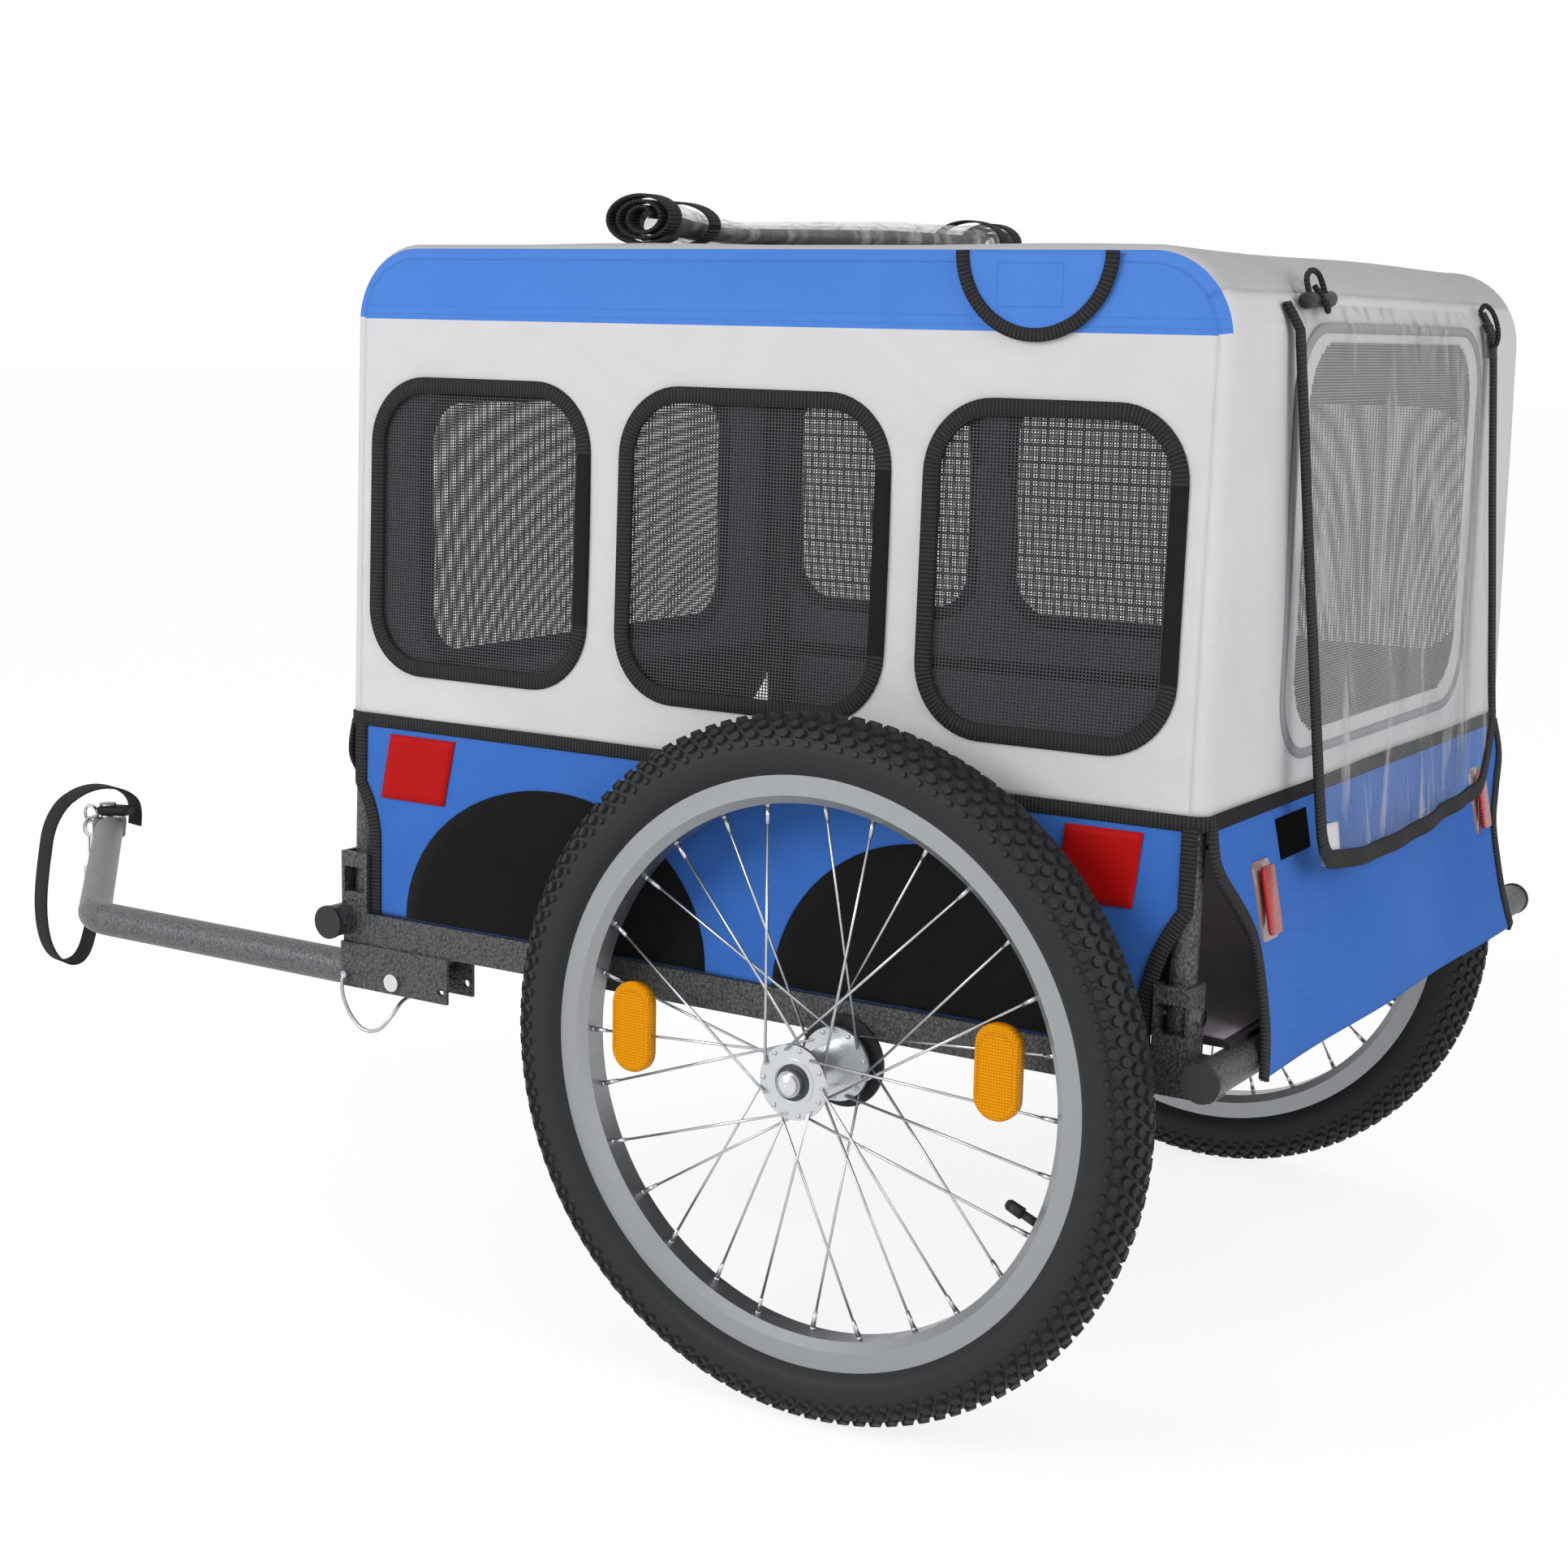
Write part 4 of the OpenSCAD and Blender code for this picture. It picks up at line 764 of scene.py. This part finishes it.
side_mesh = mesh_cloth("side_window_mesh", "X", "Z")
for side, name in ((-1, "left"), (1, "right")):
    heights = list(np.linspace(WAIST, BAND, 62))
    heights += [SHOULDER + 48 * math.sin(t) for t in np.linspace(math.asin(4 / 48), math.pi / 2, 12)[1:]]
    shares, grid = np.linspace(0, 1, 144), []
    for z in heights:
        reach = math.sqrt(max(48 ** 2 - max(z - SHOULDER, 0) ** 2, 0))
        x0, x1 = FRONT + 60 - reach, REAR - 60 + reach
        row = []
        for x in x0 + (x1 - x0) * shares:
            edge = min(x - x0, x1 - x, 800 - z, 60) / 60
            slack = 1.3 * math.sin(x / 39 + z / 83) * math.sin(z / 57 + 1) * max(edge, 0)
            row.append((x, side * (half_width(z) + slack), z))
        grid.append(row)
    grid = np.array(grid)
    keep = by_cell(grid, lambda x, y, z: not any(
        rounded_inside(x - at - w / 2, z - (LOW + HIGH) / 2, w - 15, HIGH - LOW - 15, 42.5) for at, w in WINDOWS))
    picks = by_cell(grid, lambda x, y, z: z > BAND)
    cloth = skin(f"{name}_side_cloth", grid, grey, f"{name}_hoop_frame", keep=keep, second=blue,
                 picks=picks, inside=liner, lost=-side)
    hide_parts(f"{name}_side_panel")
    for number, (x, w) in enumerate(WINDOWS, 1):
        ring = rounded_rectangle(w - 10, HIGH - LOW - 10, 45, 12)
        path = [(x + w / 2 + a, side * (half_width((LOW + HIGH) / 2 + b) + 0.2), (LOW + HIGH) / 2 + b) for a, b in ring]
        sides = [(past(a, w / 2 - 50), 0, past(b, (HIGH - LOW) / 2 - 50)) for a, b in ring]
        binding(f"{name}_window_binding_{number}", path, sides, f"{name}_hoop_frame", width=12)
    points, faces = [], []
    for x, w in WINDOWS:
        start = len(points)
        for i in range(13):
            for j in range(13):
                a, z = x + 3 + (w - 6) * i / 12, LOW + 3 + (HIGH - LOW - 6) * j / 12
                dish = 2.0 * math.sin(math.pi * i / 12) * math.sin(math.pi * j / 12)
                points.append((a, side * (half_width(z) - 2.2 - dish), z))
        faces += pane_faces(12, w, HIGH - LOW, 40, start)
    meshes = piece(f"{name}_window_mesh", points, faces, side_mesh, f"{name}_hoop_frame")
    merge(meshes)
    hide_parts(f"{name}_window_meshes")

# The front window and the roof opening have the same open mesh as the sides, in one pane each.
# It is sewn in behind the webbing of their edges.
end_mesh = mesh_cloth("end_window_mesh", "Y", "Z")
roof_mesh = mesh_cloth("roof_window_mesh_cloth", "X", "Y")


def mesh_pane(name, spot, width, height, radius, finish, node, count=24):
    """A pane of mesh from a rule that places it; its hidden edge is sewn behind the binding."""
    points = [spot(width * (i / count - 0.5), height * (j / count - 0.5)) for i in range(count + 1)
              for j in range(count + 1)]
    made = piece(name, points, pane_faces(count, width, height, radius), finish, "base")
    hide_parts(node)
    flatten(made)
    return made


mesh_pane("front_mesh", lambda a, b: (FRONT + 2.4, a, FRONT_OPEN[0] + b), 440, 221, 40, end_mesh, "front_window_mesh")
mesh_pane("roof_mesh", lambda a, b: (ROOF_OPEN[0] + a, b, ROOF - 2.4 - 3 * math.cos(a / 90) * math.cos(b / 130)),
          268, 388, 20, roof_mesh, "roof_window_mesh")

# Side skirts hang from the waist seam to the side rails. Their lower corners are cut round, to clear the hinges,
# and bound in webbing. Black half-round patches stop the tyres rubbing, and red squares are retroreflective cloth.
patch_cloth = woven("black_wear_patch", (21, 21, 22), rough=0.9, spread=4)
signal_red = woven("red_reflective_cloth", (174, 1, 2), rough=0.6, spread=4, creases=0.001)
SKIRT_TOP, SKIRT_LOW = 445.5, 293.5
CUTS = [(-518.0, 349.3, 80.0), (356.0, 313.3, 130.0)]


def on_skirt(side, x, z, out):
    """A place on a side skirt, whose waves grow towards its loose lower edge; out is away from the cover."""
    loose = (SKIRT_TOP - z) / (SKIRT_TOP - SKIRT_LOW)
    return x, side * (half_width(z) + out + 1.8 * loose * math.sin(x / 41 + z / 90)), z


for side, name in ((-1, "left"), (1, "right")):
    heights, grid = np.linspace(SKIRT_TOP, SKIRT_LOW, 42), []
    for z in heights:
        # each row runs between the two round cuts, so the cut edges come out smooth
        x0, x1 = FRONT + 12, REAR - 8
        above = max(z - CUTS[0][1], 0)
        if above < CUTS[0][2]:
            x0 = max(x0, CUTS[0][0] + math.sqrt(CUTS[0][2] ** 2 - above ** 2))
        if abs(z - CUTS[1][1]) < CUTS[1][2]:
            x1 = min(x1, CUTS[1][0] - math.sqrt(CUTS[1][2] ** 2 - (z - CUTS[1][1]) ** 2))
        grid.append([on_skirt(side, x, z, 0.4) for x in np.linspace(x0, x1, 120)])
    grid = np.array(grid[::-1])
    skirt = skin(f"{name}_skirt_cloth", grid, skirt_blue, "base", inside=patch_cloth,
                 lost=-side)
    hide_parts(f"{name}_skirt")
    for where, column in (("front", 0), ("rear", -1)):
        path = grid[:, column] + (2.5 if column == 0 else -2.5, side * 0.2, 0)
        binding(f"{name}_skirt_{where}_binding", path, (1, 0, 0), "base", width=11, thick=3.4, closed=False)
    for number, (middle_x, half) in enumerate(((-262.0, 141.0), (60.0, 122.0)), 1):
        patch, faces, rings = [], [], 9
        for i in range(rings + 1):
            for j in range(33):
                turn = math.pi * j / 32
                x, z = middle_x + half * i / rings * math.cos(turn), 294.5 + 115.5 * i / rings * math.sin(turn)
                patch.append(on_skirt(side, x, z, 1.4))
        skin(f"{name}_wear_patch_{number}", np.array(patch).reshape(rings + 1, 33, 3), patch_cloth, "base",
             thick=1.0, lost=side, flat=(2 * half / 1000, 0.116))
    for number, (x0, x1, lean) in enumerate(((-421, -357, 0.18), (160, 216, 0.1)), 1):
        grid = [[on_skirt(side, x - lean * (438 - z), z, 1.5) for x in np.linspace(x0, x1, 12)]
                for z in np.linspace(387, 438, 10)]
        skin(f"{name}_red_square_{number}", grid, signal_red, "base", thick=0.7, lost=-side)

# A webbing band is sewn over the seam where the cover and the skirts meet. It goes all the way round
# at the waist.
ring = rounded_rectangle(REAR - FRONT, 2 * half_width(452), 12, 6)
path = [((REAR + FRONT) / 2 + a, b, 447.2) for a, b in ring]
waist = binding("waist_seam_webbing", path, (0, 0, 1), "base", width=10.5, thick=3.4)
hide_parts("waist_binding")

# The end skirts are one blue cloth each and hang over the cross tubes. Their lower corners are cut back and their
# sides bound in webbing.
SKIRT_HALF = smoothed([(0, 303.0, 0), (27.5, 303.0, 0), (55, 281.0, 0), (80.8, 264.0, 0), (112, 261.5, 0),
                       (144.5, 265.2, 0), (172, 277.2, 0)], 6)
REAR_SPLAY = math.radians(11.1)


def end_skirt_place(front, y, down, out=0.0):
    """A place on an end skirt, down from the waist along its slope; out is away from the cloth."""
    face, splay = (463.9, math.radians(8.72)) if front else (256.9, REAR_SPLAY)
    wave = 1.6 * min(down / 60, 1) * math.sin(y / 43 + down / 70)
    off = out + 1.6 + wave
    x = face + down * math.sin(splay) + off * math.cos(splay)
    z = 444.4 - down * math.cos(splay) + off * math.sin(splay)
    return (-x if front else x), y, z


for front, name in ((True, "front"), (False, "rear")):
    grid = []
    for down in np.linspace(0, 172, 44):
        wide = float(np.interp(down, SKIRT_HALF[:, 0], SKIRT_HALF[:, 1]))
        grid.append([end_skirt_place(front, y, down) for y in np.linspace(-wide, wide, 90)])
    grid = np.array(grid)
    skirt = skin(f"{name}_skirt_cloth", grid, skirt_blue, "base", inside=patch_cloth,
                 lost=1 if front else -1)
    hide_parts(f"{name}_skirt")
    for where, column in (("left", 0), ("right", -1)):
        path = grid[:, column] + (0, 3 if column == 0 else -3, 0)
        binding(f"{name}_skirt_{where}_binding", path, (0, 1, 0), "base", width=11, thick=3.2, closed=False)

# Red rear reflectors are moulded lenses in a clear-edged frame, with rows of small prisms. They are fixed to the
# rear skirt, one near each end.
lens = Finish("red_reflector_lens", rgb(206, 12, 12), 0.2, Coat_Weight=0.3, Specular_IOR_Level=0.3)
x, y, z = lens.place()
prisms = (y * 2400).sine() * (z * 2400).sine()
# Painted glints and shade: the colour is lighter on the raised prisms and darker between them, in step with their bump.
lens.tint(prisms * 0.5 + 0.5, rgb(160, 2, 4), rgb(232, 26, 24))
lens.bump(prisms, 0.0008)
clear_rim = Finish("reflector_clear_rim", rgb(134, 100, 94), 0.15, Coat_Weight=0.3)
clear_rim.bump(clear_rim.noise(200.0), 0.0001)
down_dir = np.array((math.sin(REAR_SPLAY), 0, -math.cos(REAR_SPLAY)))
first = None
for side, name in ((-1, "left"), (1, "right")):
    middle = end_skirt_place(False, side * 234, 59, 0.5)
    rim = plate(f"{name}_rear_reflector_rim", middle, (0, -1, 0), -down_dir, rounded_rectangle(30, 54, 6), 6.0,
                clear_rim, "base")
    top = np.array(middle) + np.array((math.cos(REAR_SPLAY), 0, math.sin(REAR_SPLAY))) * 5.5
    plate(f"{name}_rear_reflector_lens", top, (0, -1, 0), -down_dir, rounded_rectangle(19, 46, 3), 3.0, lens, "base",
          bulge=1.2)
    first = first or rim
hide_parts("rear_reflectors")

# A square of hook tape is sewn to the rear skirt. It holds the clear cover's lower corner when that is shut.
square = [[end_skirt_place(False, y, d, 0.9) for y in np.linspace(-197, -140, 8)] for d in np.linspace(10, 38, 6)]
hooks = Finish("hook_tape", rgb(8, 9, 11), 0.95, Specular_IOR_Level=0.05)
x, y, z = hooks.place()
hooks.bump((y * 4200).sine() * (z * 4200).sine(), 0.0006)
skin("rear_hook_square", square, hooks, "base", thick=0.9, lost=-1)

# The floor is a black board on the frame, under a loose cloth liner drawn in the same darker grey-mauve, as painted
# shade.
# Inside the side skirts a lining of the same cloth hangs down to it.
grid = [[(x, y, 304.0 + 0.6 * math.sin(x / 45) * math.sin(y / 38)) for y in np.linspace(-288, 288, 60)]
        for x in np.linspace(-459, 269, 70)]
floor_cloth = skin("floor_liner_cloth", grid, liner, "base", thick=1.4, lost=-1)
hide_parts("floor_liner")
for side, name in ((-1, "left"), (1, "right")):
    grid = [[(x, side * (306.5 - 14 * max(1 - (z - 306) / 40, 0) ** 2 * (z < 346)), z)
             for x in np.linspace(-440, 236, 60)] for z in np.linspace(307, 440, 24)]
    skin(f"{name}_inner_lining", grid, patch_cloth, "base", thick=0.8, inside=liner,
         lost=-side)

# The mesh door zips round the doorway. It is a paler, closer mesh with a grey cloth border and a zip tape round it,
# and turns up about the hem at its top.
door_cloth = mesh_cloth("door_mesh_cloth", "Y", "Z", pitch=2.2, open_share=-0.1, dark=(104, 104, 106),
                        pale=(150, 150, 152))
DOOR_X, DOOR_Z = REAR + 1.3, 618.5
DOOR, DOOR_MESH, BORDER_HOLE = (386, 289, 46), (350, 270, 44), (346, 266, 46)
grid = [[(DOOR_X, y, z) for y in np.linspace(-193, 193, 156)] for z in np.linspace(474, 763, 118)]
grid = np.array(grid)
keep = by_cell(grid, lambda x, y, z: rounded_inside(y, z - DOOR_Z, *DOOR)
               and not rounded_inside(y, z - 621, *BORDER_HOLE))
skin("rear_door_border", grid, grey, "rear_door", thick=0.9, keep=keep, flat=(1.28, 0.021))
points = [(DOOR_X - 0.4, -175 + 350 * i / 60, 486 + 270 * j / 60) for i in range(61) for j in range(61)]
door_mesh = piece("rear_door_mesh", points, pane_faces(60, *DOOR_MESH), door_cloth, "rear_door")
merge(door_mesh)
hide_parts("rear_mesh_door")
ring = rounded_rectangle(*DOOR, 10)
path = [(DOOR_X - 0.2, a, DOOR_Z + b) for a, b in ring]
sides = [(0, past(a, 147), past(b, 98)) for a, b in ring]
zip_tape = Finish("grey_zip_tape", rgb(150, 150, 153), 0.8, Specular_IOR_Level=0.15)
binding("rear_door_zip_tape", path, sides, "rear_door", width=7, thick=2.2, finish=zip_tape)

# The rear cover is a sheet of clear soft vinyl over the mesh door, bound in webbing along its sides and lower edge.
# It hangs in soft folds from its top hem. Highlights along its folds and its shine at grazing angles are painted into
# its whiteness.
vinyl = Finish("clear_vinyl", rgb(174, 176, 178), 0.12, Coat_Weight=0.3)
x, y, z = vinyl.place()
crinkles_and_painted_highlights = vinyl.node("ShaderNodeTexNoise", {}, Vector=vinyl.node(
    "ShaderNodeVectorMath", {"operation": "MULTIPLY"}, vinyl.node("ShaderNodeTexCoord", {}, output="Object"),
    (60.0, 60.0, 9.0)), Scale=1.0, Detail=4.0)
# Alpha is a thin even haze, plus a painted reflection that grows towards grazing angles, plus whitish streaks along the
# crinkles that are painted highlights. The same streaks bump the sheet as real crinkles.
painted_graze_reflection = vinyl.node("ShaderNodeLayerWeight", {}, 0.35, output=1)
vinyl.set("Alpha", 0.05 + painted_graze_reflection * 0.08 + (crinkles_and_painted_highlights - 0.54).clear_of(0.0) * 2.2)
vinyl.bump(crinkles_and_painted_highlights, 0.012)
COVER_HALF = 212.0


def cover_place(y, share, out=0.0):
    """A place on the rear cover: share runs from its hem to its lower edge."""
    drop = [(0.0, 253.6, 778.5), (0.045, 263.5, 762.0), (1.0, 288.5, 388.0)]
    x = float(np.interp(share, [d[0] for d in drop], [d[1] for d in drop]))
    z = float(np.interp(share, [d[0] for d in drop], [d[2] for d in drop]))
    loose = math.sin(math.pi * min(max(share, 0), 1)) * 0.7 + 0.3 * share
    aside = y / COVER_HALF
    lift = share ** 6 * (15 * max(-aside, 0) ** 2 + 12 * max(aside + 0.4, 0))
    fold = (3.4 * math.sin(y / 13.0 + 1.9 * math.sin(share * 4)) + 2.6 * math.sin(y / 23.0 - share * 5)
            + 1.8 * math.sin(share * 13 + y / 31))
    slant = (36 * share - 4) * (1 - aside) / 2 - 34 * max(share - 0.84, 0) / 0.16 * max(aside, 0) ** 2
    return x + out + 0.8 + fold * loose * (1 - abs(aside) ** 6), y + slant, z + lift


grid = np.array([[cover_place(y, share) for y in np.linspace(-COVER_HALF, COVER_HALF, 110)]
                 for share in np.linspace(0, 1, 90)])
clear = skin("rear_vinyl_cover", grid, vinyl, "rear_cover", thick=0.5, lost=-1)
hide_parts("rear_clear_cover")
edge = [cover_place(-COVER_HALF + 5, s) for s in np.linspace(0.0, 0.93, 40)]
edge += [cover_place(-COVER_HALF + 6 + a, s) for a, s in ((1.5, 0.955), (6, 0.975), (13, 0.985))]
edge += [cover_place(y, 0.987) for y in np.linspace(-COVER_HALF + 26, COVER_HALF - 26, 40)]
edge += [cover_place(COVER_HALF - 6 - a, s) for a, s in ((13, 0.985), (6, 0.975), (1.5, 0.955))]
edge += [cover_place(COVER_HALF - 5, s) for s in np.linspace(0.93, 0.0, 40)]
edge = np.array(edge)
sides = [(0, p[1] if abs(p[1]) > COVER_HALF - 20 else p[1] * 0.05, (p[2] - 620) * (0.04 if p[2] > 410 else 1))
         for p in edge]
binding("rear_cover_binding", edge, sides, "rear_cover", width=13, thick=2.6, closed=False)
patch = [[cover_place(y, s, 1.0) for y in np.linspace(-204, -172, 6)] for s in np.linspace(0.91, 0.965, 6)]
skin("rear_cover_corner_patch", patch, grey, "rear_cover", thick=0.8, lost=-1)

# Toggles on elastic loops hold the rear cover's top when it is rolled up. The left one lies across, and the right
# one has dropped upright in its loop.
TOGGLE = [(-1, 0.3), (-0.95, 0.75), (-0.8, 1), (-0.25, 0.9), (0, 0.75), (0.25, 0.9), (0.8, 1), (0.95, 0.75), (1, 0.3)]
ELASTIC = (((0, -17, 4), (-3, -15, 14), (-4, -5, 19), (-3, 6, 17), (0, 9, 8), (5, 6, -5), (7, 0, -7), (6, -5, 0),
            (-1, -6, 9)),
           ((-4, -14, 22), (-2, -10, 27), (2, -4, 23), (5, 1, 14), (7, 1, 3), (6, -3, -4), (2, -5, 1), (-1, -7, 12)))
for number, (middle, along, half, thick) in enumerate((((258.5, -165, 781), (0, 1, 0.04), 27, 5.6),
                                                       ((263.5, 199, 757), (0.1, 0.3, -1), 14, 5.0)), 1):
    middle, along = np.array(middle, float), np.array(along) / np.linalg.norm(along)
    across = np.cross(along, (1, 0, 0)) / np.linalg.norm(np.cross(along, (1, 0, 0)))
    third = np.cross(along, across)
    points = []
    for a, r in TOGGLE:
        for k in range(16):
            spin = 2 * math.pi * k / 16
            points.append(middle + along * a * half + (across * math.cos(spin) + third * math.sin(spin)) * r * thick)
    faces = shell(len(TOGGLE), 16, capped=True)
    toggle = piece(f"rear_toggle_{number}", points, faces, plastic, "base")
    if number == 1:
        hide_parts("rear_toggles")
    flatten(toggle)
    points, faces, uv = swept(smoothed([middle + p for p in ELASTIC[number - 1]], 5), (0.3, 0.2, 1),
                              round_outline(2.0, 8))
    flatten(piece(f"rear_toggle_loop_{number}", points, faces, webbing, "base", uv=uv))

# The roof's clear vinyl cover is rolled up across the roof and held by two webbing ties. Its ends show the turns,
# edged in webbing.
ROLL_LEFT, ROLL_RIGHT, ROLL_X = -268.0, 288.0, -220.5


def slump(y):
    """How high the flattened roll stands at y, as a share of its own 37 mm."""
    return float(np.interp(y, (ROLL_LEFT, -200, -150, -37, 93, 222, ROLL_RIGHT),
                           (1.06, 0.72, 0.6, 0.76, 0.94, 1.0, 1.12)))


def roll_place(turn, y):
    """A place in the rolled vinyl: turn counts from its core outwards."""
    radius = 6.5 + 12.0 * turn / 3.0
    spin = 2 * math.pi * turn - 0.8
    return (ROLL_X + (radius + 15.0 * turn / 3) * math.cos(spin), y,
            831.3 + radius * slump(y) * math.sin(spin) - 18.5 * (1 - slump(y)))


turns = np.linspace(0.12, 3.0, 90)
grid = [[roll_place(t, y) for t in turns] for y in np.linspace(ROLL_LEFT + 12, ROLL_RIGHT - 12, 60)]
rolled = skin("roof_vinyl_roll", grid, vinyl, "base", thick=0.5)
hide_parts("roof_cover_roll")
flatten(rolled)
for name, y in (("left", ROLL_LEFT + 8), ("right", ROLL_RIGHT - 8)):
    path = [roll_place(t, y) for t in turns]
    flatten(binding(f"roof_roll_{name}_edge", path, (0, 1, 0), "base", thick=2.4, closed=False))
for number, y in enumerate((-222.0, 238.0), 1):
    ring = [(ROLL_X + (19.3 + 14.5) * math.cos(t) * 1.03, y, 812.4 + 19.4 * slump(y) * (1 + math.sin(t)))
            for t in np.linspace(0, 2 * math.pi, 40, endpoint=False)]
    flatten(binding(f"roof_roll_tie_{number}", ring, (0, 1, 0), "base", thick=1.6))

# A half-round blue flap hangs from the roof's left edge over the side's blue band. It is bound in webbing round
# its curve, and has a plain square stitched on it.
FLAP_X, FLAP_R = 119.0, 55.0
flap = []
for drop in FLAP_R * np.sin(np.linspace(0, 0.497 * math.pi, 16)):
    chord = math.sqrt(FLAP_R ** 2 - drop ** 2)
    flap.append([(FLAP_X + chord * share, -(half_width(700) + 1.0 + 0.8 * math.sin(2 * share + 1)), 808 - drop)
                 for share in np.linspace(-1, 1, 34)])
flap_blue = woven("flap_polyester", (78, 129, 209), mark=lambda finish, x, y, z: (
    (((x - 0.5235).size() - 0.024).size() < 0.0006) * ((z - 0.786).size() < 0.014)
    + (((z - 0.786).size() - 0.014).size() < 0.0006) * ((x - 0.5235).size() < 0.024)))
flap_piece = skin("roof_side_flap_cloth", flap, flap_blue, "base", thick=1.3, lost=-1)
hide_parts("roof_side_flap")
flatten(flap_piece)
curve = np.linspace(0, math.pi, 40)
path = [(FLAP_X + 54 * math.cos(t), -(half_width(700) + 0.9), 808 - 54 * math.sin(t)) for t in curve]
sides = [(math.cos(t), 0, -math.sin(t)) for t in curve]
flatten(binding("roof_side_flap_binding", path, sides, "base", width=9, thick=3.4, closed=False))

# The studio: a plain pale floor that keeps the trailer's shadow, and soft lamps above, in front and behind.
def seen_rays(nodes):
    """1 for rays that the camera, a reflection or clear vinyl sends out, and 0 for those that carry light."""
    straight, mirrored, through = (nodes.node("ShaderNodeLightPath", {}, output=f"Is {kind} Ray")
                                   for kind in ("Camera", "Glossy", "Transmission"))
    return straight.clear_of(mirrored).clear_of(through)


floor = bpy.data.meshes.new("studio_floor")
floor.from_pydata([(-30, -30, 0), (30, -30, 0), (30, 30, 0), (-30, 30, 0)], [], [(0, 1, 2, 3)])
floor_piece = bpy.data.objects.new("studio_floor", floor)
bpy.context.scene.collection.objects.link(floor_piece)
paper = Finish("studio_paper", (0.86, 0.86, 0.86), 0.9)
floor.materials.append(paper.material)
shine = paper.node("ShaderNodeEmission", {}, (1, 1, 1, 1), 1.15)
blend = paper.node("ShaderNodeMixShader", {}, seen_rays(paper) * 0.72, Wire(paper, paper.shader.outputs[0]), shine)
paper.tree.links.new(blend.socket, paper.tree.nodes["Material Output"].inputs[0])

world = bpy.data.worlds.new("studio")
bpy.context.scene.world = world
world.use_nodes = True
sky = Nodes(world.node_tree)
soft_light = sky.tree.nodes["Background"]
soft_light.inputs[0].default_value, soft_light.inputs[1].default_value = (1, 1, 1, 1), 0.62
backdrop = sky.node("ShaderNodeBackground", {}, (1, 1, 1, 1), 1.0)
either = sky.node("ShaderNodeMixShader", {}, seen_rays(sky), Wire(sky, soft_light.outputs[0]), backdrop)
sky.tree.links.new(either.socket, sky.tree.nodes["World Output"].inputs[0])

for name, place, size, power in (("key", (-1500, -2900, 1700), 1.8, 50), ("fill", (2500, -900, 1300), 1.6, 23)):
    lamp = bpy.data.lights.new(name, "AREA")
    lamp.shape, lamp.size, lamp.energy = "DISK", size, power
    made = bpy.data.objects.new(name, lamp)
    bpy.context.scene.collection.objects.link(made)
    spot = here(*place)
    made.matrix_world = Matrix.LocRotScale(spot, (here(-60, 0, 420) - spot).to_track_quat("-Z", "Y"), None)
